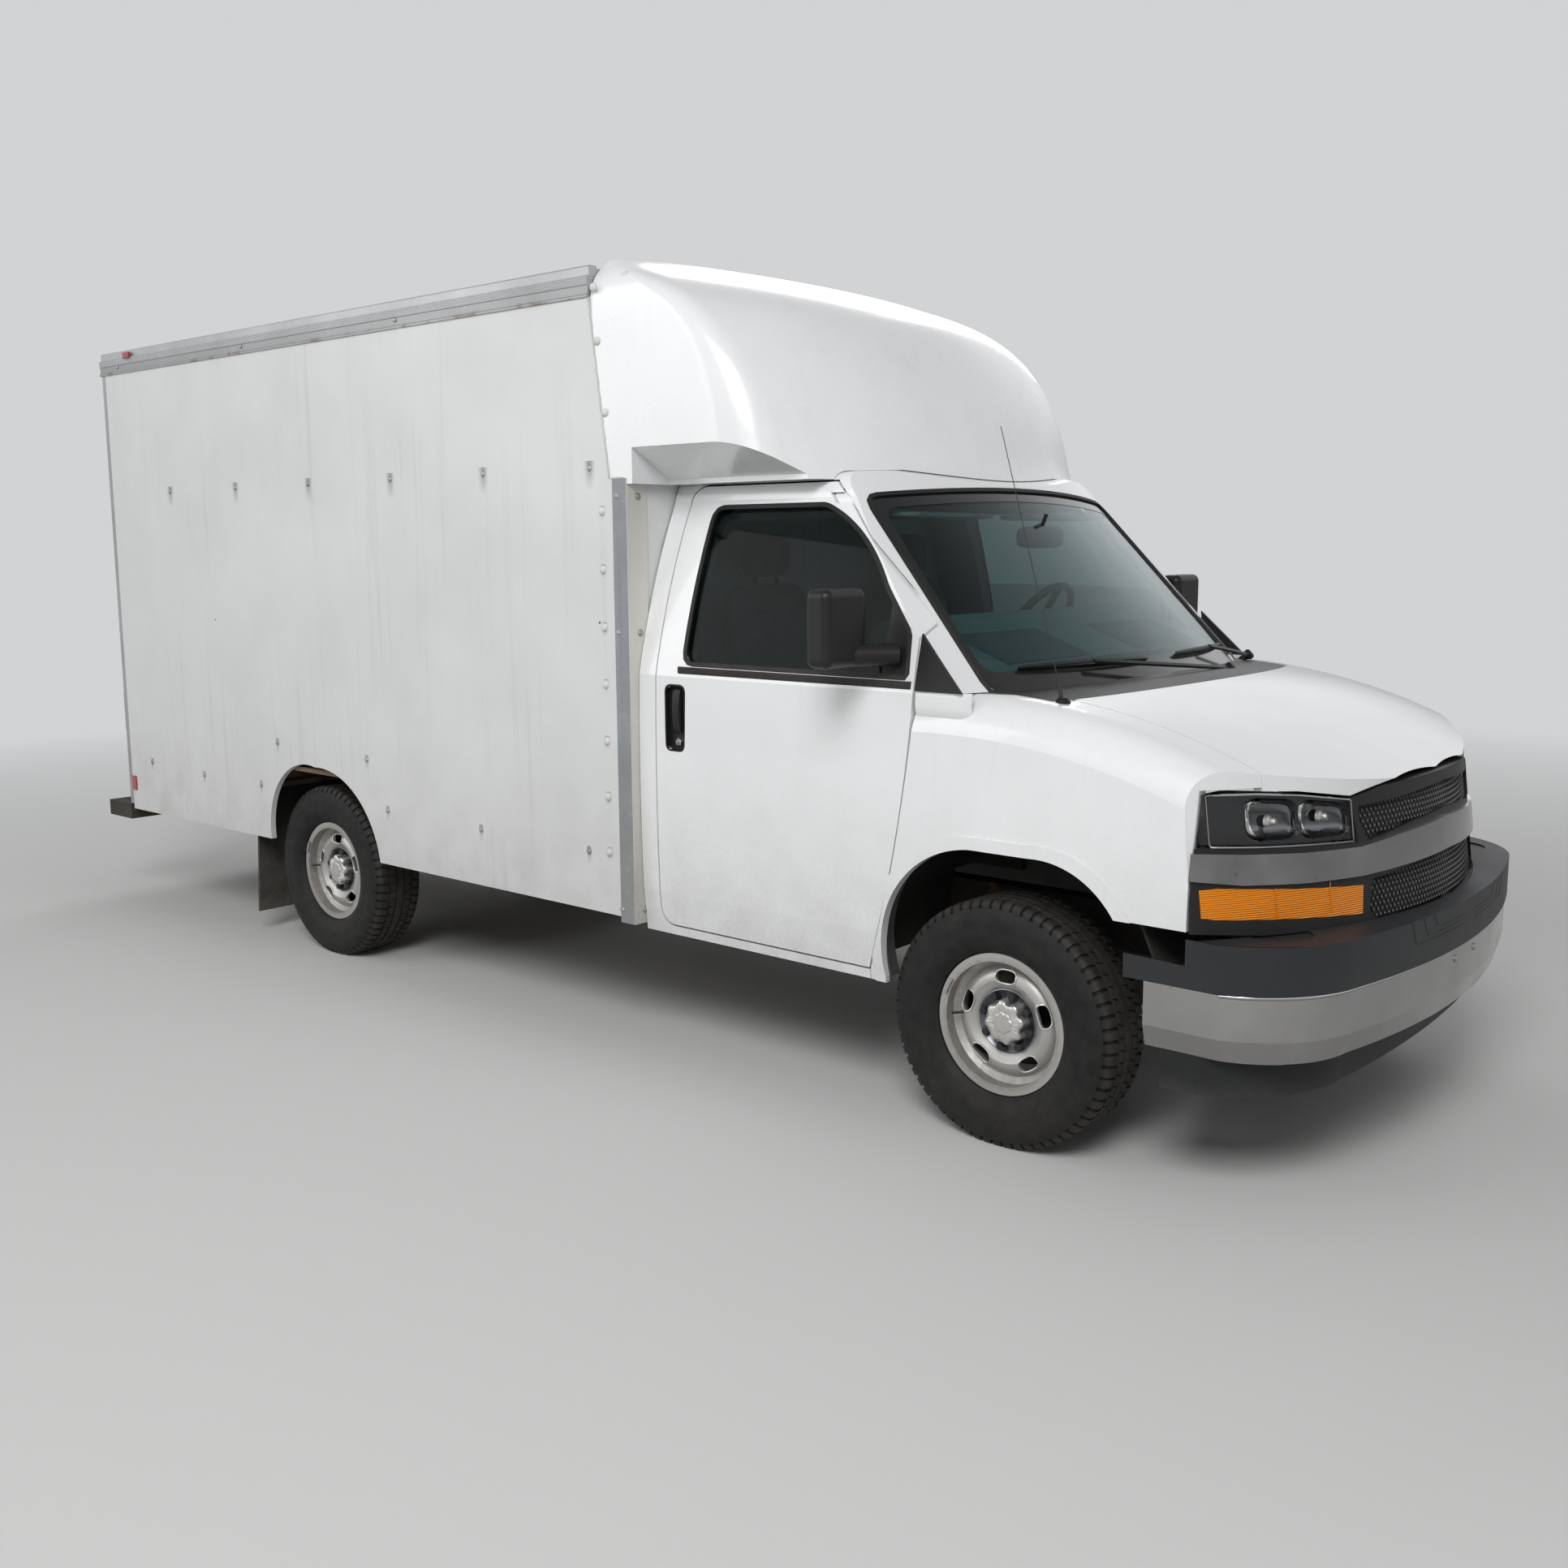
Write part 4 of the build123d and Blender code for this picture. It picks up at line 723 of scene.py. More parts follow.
def lens_ribs(pitch, dark):
    """Fine horizontal ribs behind a lamp's lens."""
    def more(skin):
        ribs = (skin.axes(skin.vector)[2] * (2 * pi / pitch)).sine()
        skin.blend(skin.remap(ribs, -1.0, 1.0, 0.0, 0.14), dark)
        skin.height += ribs * 3.0
    return more


def edge_rust(skin):
    """Rust where black paint has gone, in blotches with a rough edge."""
    spots = skin.blotch(skin.vector, 9.0, 9.0, 0.58, 0.66)
    skin.blend(spots, (0.16, 0.065, 0.03))
    skin.gloss += spots * 0.3


def deck_boards(skin):
    """Boards along the deck with long grain."""
    gap = (skin.axes(skin.vector)[1] / BOARD_WIDTH).fraction() < 0.03
    skin.blend(skin.remap(skin.noise(skin.vector, 60.0, 4.0, (0.05, 1, 1)), 0.35, 0.7), (0.10, 0.055, 0.03))
    skin.blend(gap, (0.02, 0.015, 0.01))
    skin.height -= gap * 6.0


def painted_glint(skin):
    """A painted glint: the faces that look up and forward get a lighter grey, as if lit from above."""
    x, _, z = skin.axes(skin.signal("ShaderNodeNewGeometry", "Normal"))
    # Painted highlight, strongest on the faces that look up and forward
    skin.blend(skin.remap(z + x * 0.55, 0.35, 0.9), (0.26, 0.265, 0.27))


def soft_waves(skin):
    """Very shallow waves in a hand-laid moulding."""
    skin.height = skin.height * 0.4 + skin.noise(skin.vector, 2.2, 1.0) * 9.0


def reflector_cells(skin):
    """Bright reflector cells of chrome in a black bezel, told apart by the piece's own cell attribute; where
    it is above one, a painted highlight makes a brighter crescent of the same chrome.
    """
    cell = skin.signal("ShaderNodeAttribute", "Fac", attribute_name="cell")
    bright = skin.remap(cell, 0.02, 0.08)
    skin.blend(bright, (0.15, 0.155, 0.16))
    # Painted highlight: the crescent of each cell gets a near-white chrome
    skin.blend(skin.remap(cell, 1.05, 1.2), (0.80, 0.81, 0.82))
    skin.gloss -= bright * 0.27
    skin.put({"Metallic": bright})


def dirt_and_ground_reflection(skin):
    """Road dirt on bright plate, a haze and spots, and a painted reflection of the dark ground on the faces
    that look down.
    """
    facing = skin.axes(skin.signal("ShaderNodeNewGeometry", "Normal"))[2]
    # Painted reflection: the faces that look down are darkened as if they mirrored the ground below
    skin.blend((1 - skin.remap(facing, -0.15, 0.45)) * 0.6, (0.16, 0.155, 0.15))
    haze = skin.blotch(skin.vector, 5.0, 7.0, 0.38, 0.72)
    skin.blend(haze * 0.22, (0.30, 0.27, 0.23))
    skin.blend(small_chips(skin, skin.vector, 30.0, 0.12) * 0.5, (0.22, 0.17, 0.12))
    skin.gloss += haze * 0.16


def chrome_finish(name, film):
    """Bright plate under an uneven film of road dirt, with a painted dark ground reflection on the faces that
    look down.
    """
    return finish(name, (0.66, 0.665, 0.67), 0.07, 1.0, (0.03, 40, 0.05),
                  (film, 0.3, 0.5, (0.16, 0.145, 0.125)), spread=0.03, more=dirt_and_ground_reflection)


def cloth_finish(name, colour):
    """Woven cloth with sheen, read from the piece's own thread attribute, which holds places in metres."""
    skin = Skin(name)
    thread = skin.signal("ShaderNodeAttribute", "Vector", attribute_name="thread")
    skin.height, fleck = cloth_weave(skin, thread)
    patch = skin.blotch(thread, 9.0, 4.0, 0.35, 0.7)
    skin.tone = skin.mix(skin.height, shade(colour, 0.98), shade(colour, 1.02))
    skin.blend(fleck * 0.02, shade(colour, 1.3))
    skin.blend(patch * 0.2, shade(colour, 0.7))
    return skin.put({"Base Color": skin.tone, "Roughness": patch * 0.1 + 0.8,
                     "Normal": skin.bumped(0.0001, 0.12), "Sheen Weight": 0.15, "Sheen Roughness": 0.5})


def make_finishes(paint, wear):
    """Every finish of the truck, by name: (label, colour, roughness, metallic, relief, dirt)."""
    film, plastic = wear.film, paint.plastic
    dash_dust, disc_dust, hub_dust = (0.3, 0.29, 0.26), (0.16, 0.13, 0.10), (0.12, 0.08, 0.05)
    return {
        "white_paint": finish("Cab paint", paint.paint, 0.28, 0, (0.03, 200, 0.03), (film * 0.55, 0.45, 0.75),
                              coat=1.0, runs=0.06, more=cab_lining),
        "fairing_white": finish("Fairing gel coat", paint.fairing, 0.22, 0, (0.04, 150, 0.16),
                                (0.10, 1.9, 0.5), coat=0.9, coat_roughness=0.16, runs=0.12, run_scale=18.0,
                                more=soft_waves),
        "wall_panel": finish("Side panel", paint.panel, 0.42, 0, (0.07, 420, 0.22), (film * 0.5, 0.45, 0.7),
                             runs=0.22, run_scale=26.0, chips=0.03, more=bolt_stains_and_shadows(wear.drips_and_shadows)),
        "door_panel": finish("Rear door paint", (0.60, 0.61, 0.62), 0.35, 0, (0.08, 260, 0.1),
                             (film * 0.7, 0.7, 0.9), runs=0.3, chips=0.1, coat=0.3),
        "roof_sheet": finish("Roof sheet", (0.46, 0.47, 0.48), 0.62, 0.3, (0.2, 300, 0.2), (0.3, 2.6, 0.4),
                             runs=0.3),
        "top_rail": finish("Top rail", (0.50, 0.515, 0.52), 0.40, 0.55, (0.18, 500, 0.1), (0.12, 2.5, 0.5),
                           runs=0.25, run_scale=60.0, more=rail_bands),
        "corner_post": finish("Corner post zinc", (0.34, 0.36, 0.375), 0.5, 0.45, (0.3, 160, 0.1),
                              (0.4, 0.4, 0.9), runs=0.3, more=post_faces),
        "rail_aluminium": finish("Rear frame metal", (0.46, 0.47, 0.48), 0.45, 0.6, (0.25, 300, 0.2),
                                 (0.4, 0.5, 1.1), runs=0.3, chips=0.15, chip_colour=(0.2, 0.09, 0.04)),
        "frame_black": finish("Chassis black", (0.020, 0.019, 0.018), 0.62, 0, (0.3, 120, 0.5),
                              (0.85, 0.2, 0.9, (0.09, 0.08, 0.068)), spread=0.2, specular=0.2,
                              more=edge_rust),
        "hub_iron": finish("Cast hub iron", (0.085, 0.06, 0.045), 0.75, 0.4, (0.4, 140, 0.6),
                           (0.5, 0.1, 0.6, (0.13, 0.08, 0.05))),
        "engine_grey": finish("Engine casting", (0.14, 0.14, 0.14), 0.6, 0.5, (0.35, 90, 0.8),
                              (0.5, 0.3, 0.8)),
        "exhaust_steel": finish("Exhaust steel", (0.17, 0.12, 0.09), 0.62, 0.7, (0.5, 110, 0.4),
                                (0.5, 0.3, 0.5), more=edge_rust),
        "tank_plastic": finish("Tank plastic", (0.028, 0.028, 0.030), 0.5, 0, (0.25, 400, 0.3),
                               (0.6, 0.3, 0.5), specular=0.3),
        "bumper_chrome": chrome_finish("Bumper chrome", 0.25),
        "pad_plastic": finish("Grained pad", paint.pad, 0.42, 0, (0.22, 700, 0.5),
                              (0.12, 0.3, 0.6, (0.13, 0.12, 0.105)), specular=0.3),
        "air_dam": finish("Air dam plastic", (0.016, 0.017, 0.018), 0.5, 0, (0.3, 600, 0.5),
                          (0.45, 0.30, 0.09, (0.09, 0.09, 0.085)), chips=0.15,
                          chip_colour=(0.20, 0.19, 0.175), specular=0.3),
        "black_plastic": finish("Black grained plastic", plastic, 0.36, 0, (0.25, 650, 0.3),
                                (0.08, 0.6, 0.9, (0.10, 0.095, 0.085)), specular=0.3),
        "mirror_plastic": finish("Mirror plastic", plastic, 0.36, 0, (0.3, 700, 0.3), (0.04, 1.3, 0.5),
                                 specular=0.3),
        "lamp_amber": finish("Amber lens", paint.amber, 0.22, 0, (0.15, 60, 0.35), (0.03, 0.7, 0.4), coat=0.6,
                             more=lens_ribs(0.006, (0.60, 0.10, 0.0))),
        "lamp_red": finish("Red lens", (0.42, 0.012, 0.010), 0.12, 0, (0.15, 60, 0.3), (0.15, 0.7, 0.6),
                           coat=0.7, more=lens_ribs(0.008, (0.15, 0.0, 0.0))),
        "lamp_clear": glazing("Clear lens", (0.97, 0.98, 0.985), 0.10, 1.12),
        "window_glass": glazing("Windshield glass", paint.tint, 0.03, 1.3),
        "side_glass": glazing("Side glass", paint.side_tint, 0.03, 1.18),
        "dash_plastic": finish("Dashboard plastic", paint.dash, 0.6, 0, (0.15, 800, 0.4),
                               (0.2, 1.0, 0.8, dash_dust)),
        "floor_mat": finish("Floor mat", (0.045, 0.045, 0.045), 0.85, 0, (0.3, 500, 0.9), (0.5, 0.5, 0.5),
                            specular=0.3),
        "deck_wood": finish("Deck boards", (0.20, 0.12, 0.065), 0.6, 0, (0.3, 220, 0.4), (0.3, 0.6, 0.4),
                            more=deck_boards),
        "tyre_rubber": finish("Tyre rubber", (0.011, 0.011, 0.011), 0.55, 0, (0.3, 320, 0.4),
                              (0.12, 0.0, 0.5, (0.10, 0.09, 0.075)), specular=0.2, more=tyre_dust),
        "wheel_silver": finish("Wheel silver", paint.silver, 0.34, 0.6, (0.15, 150, 0.1),
                               (0.18, 0.1, 0.6, disc_dust), more=wheel_dirt),
        "flap_rubber": finish("Flap rubber", (0.020, 0.020, 0.020), 0.7, 0, (0.3, 200, 0.6),
                              (0.8, 0.1, 0.7, (0.13, 0.12, 0.10)), specular=0.3),
        "liner_plastic": finish("Liner plastic", (0.012, 0.012, 0.012), 0.8, 0, (0.3, 90, 1.0),
                                (0.5, 0.3, 0.9, (0.07, 0.065, 0.055))),
        # Finishes of added pieces
        "seal_rubber": finish("Seal rubber", (0.014, 0.014, 0.015), 0.5, 0, (0.25, 500, 0.2), (0.2, 1.2, 0.8),
                              specular=0.2),
        "glass_frit": finish("Black glass edge", (0.008, 0.009, 0.010), 0.12, 0, (0.1, 100, 0.02),
                             (0.10, 1.2, 0.7), coat=0.6, specular=0.2),
        "sealant": finish("Sealant", (0.62, 0.62, 0.60), 0.55, 0, (0.35, 120, 0.8), (0.3, 1.5, 1.3)),
        "bolt_zinc": finish("Bolt heads", (0.42, 0.43, 0.44), 0.42, 0.7, (0.35, 200, 0.3), (0.25, 0.4, 0.8),
                            chips=0.3, chip_colour=(0.22, 0.10, 0.045)),
        "bolt_white": finish("Painted bolt heads", (0.70, 0.70, 0.69), 0.4, 0, (0.2, 200, 0.3),
                             (0.25, 0.4, 0.9), chips=0.2, chip_colour=(0.25, 0.12, 0.06)),
        "dark_steel": finish("Dark hub steel", (0.19, 0.20, 0.22), 0.26, 0.9, (0.3, 150, 0.2),
                             (0.12, 0.1, 0.6, hub_dust)),
        "nut_black": finish("Black nuts", (0.012, 0.012, 0.013), 0.28, 0, (0.3, 150, 0.2),
                            (0.08, 0.1, 0.6, hub_dust), coat=0.5, specular=0.3),
        "bright_trim": chrome_finish("Bright trim", 0.1),
        "cap_silver": finish("Cap silver", shade(paint.silver, 1.25), 0.28, 0.75, (0.12, 150, 0.1),
                             (0.1, 0.1, 0.6, disc_dust)),
        "lamp_inner": finish("Lamp reflector", (0.010, 0.010, 0.011), 0.35, 0, (0.1, 60, 0.04),
                             (0.0, 0.0, 1.0), coat=0.5, more=reflector_cells),
        "cell_plastic": finish("Grille cell plastic", (0.022, 0.022, 0.023), 0.25, 0, (0.3, 300, 0.1),
                               # The grille's pockets carry a painted glint on their upper faces
                               (0.0, 0.0, 1.0), more=painted_glint),
        "mirror_glass": finish("Mirror glass", (0.72, 0.74, 0.76), 0.03, 1.0, (0.02, 20, 0.01),
                               (0.06, 1.3, 0.5)),
        "seat_cloth": cloth_finish("Woven cloth", paint.cloth),
        "dash_dark": finish("Dark tray mat", (0.06, 0.065, 0.065), 0.7, 0, (0.25, 700, 0.5),
                            (0.2, 1.0, 0.8, dash_dust), specular=0.3),
    }


FINISH_OF_NODE = {
    "box_rails": "top_rail", "box_posts": "corner_post", "air_dam": "air_dam",
    "wheel_liners": "liner_plastic",
    "door_glass_right": "side_glass", "door_glass_left": "side_glass",
    "mirror_right": "mirror_plastic", "mirror_left": "mirror_plastic",
}
made = {}


# Outlines and surfaces used by several pieces


def rounded(corners, radii, steps=6):
    """A closed outline with rounded corners, each a quadratic curve between points on its two edges."""
    corners = np.asarray(corners, float)
    radii = np.broadcast_to(np.asarray(radii, float), len(corners))[:, None]

    def towards(other):
        """Points from each corner towards another point."""
        gap = other - corners
        length = np.linalg.norm(gap, axis=1, keepdims=True)
        return corners + gap * np.minimum(radii / length, 0.5)

    start, end = towards(np.roll(corners, 1, 0)), towards(np.roll(corners, -1, 0))
    t = np.linspace(0, 1, steps)[None, :, None]
    curve = (1 - t)**2 * start[:, None] + 2 * t * (1 - t) * corners[:, None] + t**2 * end[:, None]
    return curve.reshape(-1, 2)


def even(path, count, closed=False):
    """Points at equal distances along a path."""
    path = np.asarray(path, float)
    if closed:
        path = np.concatenate([path, path[:1]])
    steps = np.linalg.norm(np.diff(path, axis=0), axis=1)
    reach = np.concatenate([[0], np.cumsum(steps)])
    places = np.linspace(0, reach[-1], count + 1)[:-1] if closed else np.linspace(0, reach[-1], count)
    return np.stack([np.interp(places, reach, column) for column in path.T], -1)


def arc_points(first, through, last, count):
    """Points of the arc through three points of a plane."""
    centre, radius = circle_through(first, through, last)
    angles = np.unwrap([np.arctan2(*(np.array(p) - centre)[::-1]) for p in (first, through, last)])
    angle = np.linspace(angles[0], angles[2], count)
    return centre + radius * np.stack([np.cos(angle), np.sin(angle)], -1)


def field(first, second):
    """A grid of even steps: each direction's start, end and count."""
    return np.meshgrid(np.linspace(*first), np.linspace(*second), indexing="ij")


def cab_half(z):
    """Half width of cab, hood and doors at a height: straight pieces below the belt, an arc above."""
    z = np.asarray(z, float)
    low = np.interp(z, [0.45, 0.606, 0.8, 0.95, 1.2, 1.38], [0.985, 1.001, 1.006, 1.008, 1.006, 1.003])
    return np.where(z < 1.38, low, cab_side(np.clip(z, 1.38, 2.03)))


def side_point(x, z, proud=0.0):
    """A point on the right side of the cab, standing out by a little."""
    return at(x, -(cab_half(z) + proud), z)


def windshield_point(y, z, proud=0.0):
    """A point on the windshield's surround, standing out by a little."""
    return at(windshield_x(y, z, proud), y, z)


def windshield_normal(y):
    """The windshield's outward direction: forward, outward with its arc, and up with its slope."""
    y = np.asarray(y, float)
    across = y / np.sqrt(WINDSHIELD_RADIUS**2 - y**2)
    normal = np.stack([np.ones_like(y), across, np.full_like(y, -WINDSHIELD_SLOPE)], -1)
    return normal / np.linalg.norm(normal, axis=-1, keepdims=True)


def windshield_frame(grow, low_grow=None, count=160):
    """The windshield's closed outline (side, height), grown or shrunk, with round corners."""
    low_grow = grow if low_grow is None else low_grow
    top_y, top_z = 0.776 + grow, 1.984 + grow
    top = np.linspace(top_y, -top_y, 13)
    crown = np.stack([top, top_z + 0.032 * (1 - (top / top_y) ** 2)], -1)
    corners = np.concatenate([[(-0.870 - grow, 1.372 - low_grow), (0.870 + grow, 1.372 - low_grow)], crown])
    radii = np.full(len(corners), 0.001)
    radii[[0, 1, 2, -1]] = 0.05
    return even(rounded(corners, radii), count, closed=True)


def window_frame(count=120):
    """The door window's closed outline (station, height)."""
    front = arc_points((-0.775, 1.962), (-0.618, 1.880), (-0.452, 1.701), 12)
    corners = np.concatenate([[(-1.272, 1.425), (-1.272, 1.962)], front, [(-0.330, 1.560), (-0.318, 1.425)]])
    radii = np.full(len(corners), 0.004)
    radii[[0, 1]] = 0.045
    return even(rounded(corners, radii), count, closed=True)


def bumper_path(proud, z, count=120, reach=0.72):
    """The bumper's plan at a height, from one end round the front to the other."""
    side = arc_points((0.720, -1.008 - proud), (0.880, -0.905 - proud * 0.7), (0.985 + proud, -0.700), 16)
    front = arc_points((0.985 + proud, -0.700), (1.066 + proud, 0.0), (0.985 + proud, 0.700), 60)
    plan = np.concatenate([[(reach, -1.008 - proud)], side, front[1:], (side * (1, -1))[::-1][1:],
                           [(reach, 1.008 + proud)]])
    plan = even(plan, count)
    return at(plan[:, 0], plan[:, 1], z)


def signed_power(value, exponent):
    """A power that keeps the sign."""
    return np.sign(value) * np.abs(value) ** exponent


def superellipsoid(exponents, rows=24, columns=48):
    """A unit block with round edges: sines and cosines raised to a power, poles on +Z and -Z."""
    high = np.linspace(-pi / 2, pi / 2, rows)[:, None]
    turn = (np.arange(columns) * 2 * pi / columns)[None, :]
    lift, plan = exponents
    ring = signed_power(np.cos(high), lift)
    x, y = ring * signed_power(np.cos(turn), plan), ring * signed_power(np.sin(turn), plan)
    z = np.broadcast_to(signed_power(np.sin(high), lift), x.shape)
    return np.stack([x, y, z], -1)


def block_shape(centre, size, exponents=(0.3, 0.3)):
    """A block with round edges about a centre."""
    points = superellipsoid(exponents) * np.asarray(size) / 2 + np.asarray(centre)
    return sheet_shape(points, wrap_columns=True)


def rod_shape(start, end, radius, count=12):
    """A round bar between two points."""
    path = np.linspace(start, end, 3)
    up = (0, 0, 1) if abs(path[-1, 2] - path[0, 2]) < 0.9 * np.linalg.norm(path[-1] - path[0]) else (0, 1, 0)
    return swept(round_profile(radius, count), path, up)


def dome(radius, height, count=16, washer=0.0):
    """A round bolt head, with a flat washer below it if asked."""
    turn = np.linspace(0, pi / 2, 5)
    head = [(radius * cos(a), height * sin(a) + washer * 0.2) for a in turn]
    foot = [(0.0, -0.002), (radius + washer, -0.002), (radius + washer, washer * 0.2)] if washer else [
        (0.0, -0.002), (radius, -0.002)]
    return turned(foot + head, count)


# Wheels

WHEELS = [(end, word, turn) for end in ("front", "rear") for word, turn in SIDES]
HOLE_ROUNDNESS = 0.75
HOLE_COUNT = 5
NUT_COUNT = 8


def wheel_place(end):
    """Station and track of a wheel on the right side."""
    return (0.0, FRONT_TRACK) if end == "front" else (REAR_AXLE, REAR_TRACK)


# Across the tread: both grooves of a half, the shoulder's start and the tread's radius. BLOCK_STEPS are
# the columns of one shoulder block, as shares of it
GROOVES = ((0.0150, 0.0250), (0.0510, 0.0610))
SHOULDER, TREAD_RADIUS = (0.0612, 0.3655), 0.387
RIB = (0.0254, 0.0506)
SLOT, NARROW_SLOT = (0.02, 0.29), (0.44, 0.56)
SIDEWALL_RIDGES = ((0.243, 0.003), (0.338, 0.0025), (0.352, 0.0018))
BLOCK_STEPS = np.array([0.0, 0.03, 0.28, 0.31, 0.42, 0.45, 0.55, 0.58, 0.80])


def tyre_section():
    """Half the section from bead to tread as (radius, out), denser at the grooves' edges."""
    bead = [(0.203, 0.0), (0.203, 0.040), (0.203, 0.070), (0.213, 0.076), (0.223, 0.081), (0.2255, 0.093)]
    side = arc_points((0.225, 0.0935), (0.265, 0.1195), (0.300, 0.1225), 12)
    upper = arc_points((0.300, 0.1225), (0.345, 0.1195), (0.370, 0.1085), 10)[1:]
    shoulder = arc_points((0.370, 0.1085), (0.383, 0.0985), (0.387, 0.0805), 8)[1:]
    tread = [0.0745, 0.068, 0.0615, 0.0605, 0.056, 0.0515, 0.0505, 0.043, 0.034, 0.0255, 0.0245, 0.020,
             0.0155, 0.0145, 0.010, 0.005]
    flat = np.stack([np.full(len(tread), TREAD_RADIUS), tread], -1)
    return np.concatenate([bead, side, upper, shoulder, flat, [(TREAD_RADIUS, 0.0)]])


def between(values, low, high):
    """Which values lie between two others."""
    return (values > low) & (values < high)


def tyre_shape(station, track, depth, blocks):
    """A road tyre: its section turned about the axle. Each groove and shoulder slot is a step inward
    along the section's normal, the columns lean with the slots, and the foot is flat on the ground."""
    half = tyre_section()
    section = np.concatenate([half, (half[1:-1] * (1, -1))[::-1]])
    along = np.roll(section, -1, 0) - np.roll(section, 1, 0)
    normal = np.stack([-along[:, 1], along[:, 0]], -1)
    normal /= np.linalg.norm(normal, axis=1, keepdims=True)
    normal *= np.sign((normal * (section - (0.295, 0.0))).sum(1, keepdims=True))
    radius, out = section.T
    across = np.abs(out)
    grooves = np.any([between(across, *groove) for groove in GROOVES], axis=0)
    fraction = np.tile(BLOCK_STEPS, blocks)
    base = (np.repeat(np.arange(blocks), len(BLOCK_STEPS)) + fraction) * 2 * pi / blocks
    slot, narrow = between(fraction, *SLOT), between(fraction, *NARROW_SLOT)
    shoulder = (across > SHOULDER[0]) & (radius > SHOULDER[1])
    rib = between(across, *RIB) & (radius > 0.38)
    cut = (np.where(grooves & (radius > 0.38), 1.0, 0.0)[None]
           + slot[:, None] * shoulder[None] * 1.0 + narrow[:, None] * rib[None] * 0.6).clip(0, 1) * depth
    ridge = 0.0012 * sum(np.exp(-((radius - middle) / width) ** 2) for middle, width in SIDEWALL_RIDGES)
    move = ridge * (across > 0.09) - cut
    lean = 0.55 * 2 * pi / blocks * np.clip((across - 0.02) / 0.06, 0, 1)
    angle = base[:, None] + lean[None] * np.where(out > 0, 1, -1)[None]
    reach = radius[None] + move * normal[None, :, 0]
    side = out[None] + move * normal[None, :, 1]
    x = reach * np.cos(angle) + station
    z = np.maximum(reach * np.sin(angle) + AXLE_Z, 0.0)
    return sheet_shape(at(x, -(track + side), z), wrap_rows=True, wrap_columns=True)


def dish_height(radius):
    """How far the wheel disc's face stands out at a radius."""
    return np.interp(radius, [0.070, 0.085, 0.100, 0.115, 0.130, 0.145, 0.160, 0.170, 0.177],
                     [0.025, 0.0345, 0.045, 0.0545, 0.062, 0.0605, 0.052, 0.040, 0.026])


def cap_shape():
    """The centre cap: a disc whose rim waves round the nuts, with fine spokes and a bare middle."""
    ring = np.array([0.0, 0.25, 0.44, 0.46, 0.50, 0.62, 0.74, 0.86, 0.93, 0.98, 1.0, 1.0])
    face = np.array([0.0745, 0.0748, 0.0745, 0.0730, 0.0722, 0.0724, 0.0722, 0.0715, 0.0700, 0.0672, 0.062,
                     0.024])
    turn = np.arange(192) * 2 * pi / 192
    rim = 0.0655 + 0.0046 * np.cos(NUT_COUNT * (turn - 2 * pi * 0.8 / NUT_COUNT))
    spokes = 0.0010 * (np.cos(48 * turn)[None] > 0) * ((ring > 0.5) & (ring < 0.93))[:, None]
    radius = ring[:, None] * rim[None]
    points = np.stack([radius * np.sin(turn), radius * np.cos(turn), face[:, None] + spokes], -1)
    return sheet_shape(points, wrap_columns=True)


def wheel_details(station, track):
    """Cap, hub plate, nuts, hole lips, valve and balance weight of a right-hand wheel."""
    hub = at([station], -track, AXLE_Z)

    def fixed(shape):
        """The shape at the wheel's middle."""
        return copies(shape, hub, FACING_RIGHT)

    plate = fixed(turned([(0.060, 0.024), (0.060, 0.0275), (0.070, 0.0285), (0.086, 0.0375), (0.098, 0.0475),
                          (0.101, 0.0465), (0.099, 0.040)], 64))
    angle = 2 * pi * (np.arange(NUT_COUNT) + 0.3) / NUT_COUNT
    ring = hub + np.stack([0.084 * np.sin(angle), np.full(NUT_COUNT, -0.026), 0.084 * np.cos(angle)], -1)
    nut = turned([(0.0, 0.0), (0.0150, 0.0), (0.0150, 0.006), (0.0140, 0.008), (0.0140, 0.030),
                  (0.0120, 0.0335), (0.0, 0.0350)], 6)
    collar = turned([(0.0, -0.002), (0.0165, -0.002), (0.0165, 0.005), (0.013, 0.007)], 18)
    nuts = joined([copies(nut, ring, FACING_RIGHT), copies(collar, ring, FACING_RIGHT)])
    turn = np.linspace(0, 2 * pi, 40, endpoint=False)
    along = 0.037 * signed_power(np.cos(turn), HOLE_ROUNDNESS)
    off = 0.142 + 0.021 * signed_power(np.sin(turn), HOLE_ROUNDNESS)
    lips = []
    for index in range(HOLE_COUNT):
        spoke = 2 * pi * index / HOLE_COUNT
        x = off * sin(spoke) + along * cos(spoke)
        z = off * cos(spoke) - along * sin(spoke)
        height = dish_height(np.hypot(x, z)) + 0.0008
        path = np.stack([x, z, height], -1)
        lips.append(swept(round_profile(0.0030, 8), path, (0, 0, 1), closed=True))
    stem = swept(round_profile(0.0045, 10),
                 [(-0.150, 0.0, 0.048), (-0.166, 0.0, 0.066), (-0.178, 0.0, 0.084)], (0, 1, 0))
    weight_turn = np.linspace(-0.13, 0.13, 9) + pi * 0.86
    weight = swept(flat_profile(0.010, 0.007), np.stack([
        0.207 * np.cos(weight_turn), 0.207 * np.sin(weight_turn), np.full(9, 0.0905)], -1), (0, 0, 1))
    return {
        "hub_plate": (plate, "dark_steel", "hub_iron"),
        "nuts": (nuts, "nut_black", "hub_iron"),
        "cap": (fixed(cap_shape()), "cap_silver", "wheel_silver"),
        "hole_lips": (fixed(joined(lips)), "cap_silver", "wheel_silver"),
        "valve": (fixed(stem), "seal_rubber", "tyre_rubber"),
        "balance_weight": (fixed(weight), "bolt_zinc", "hub_iron"),
    }


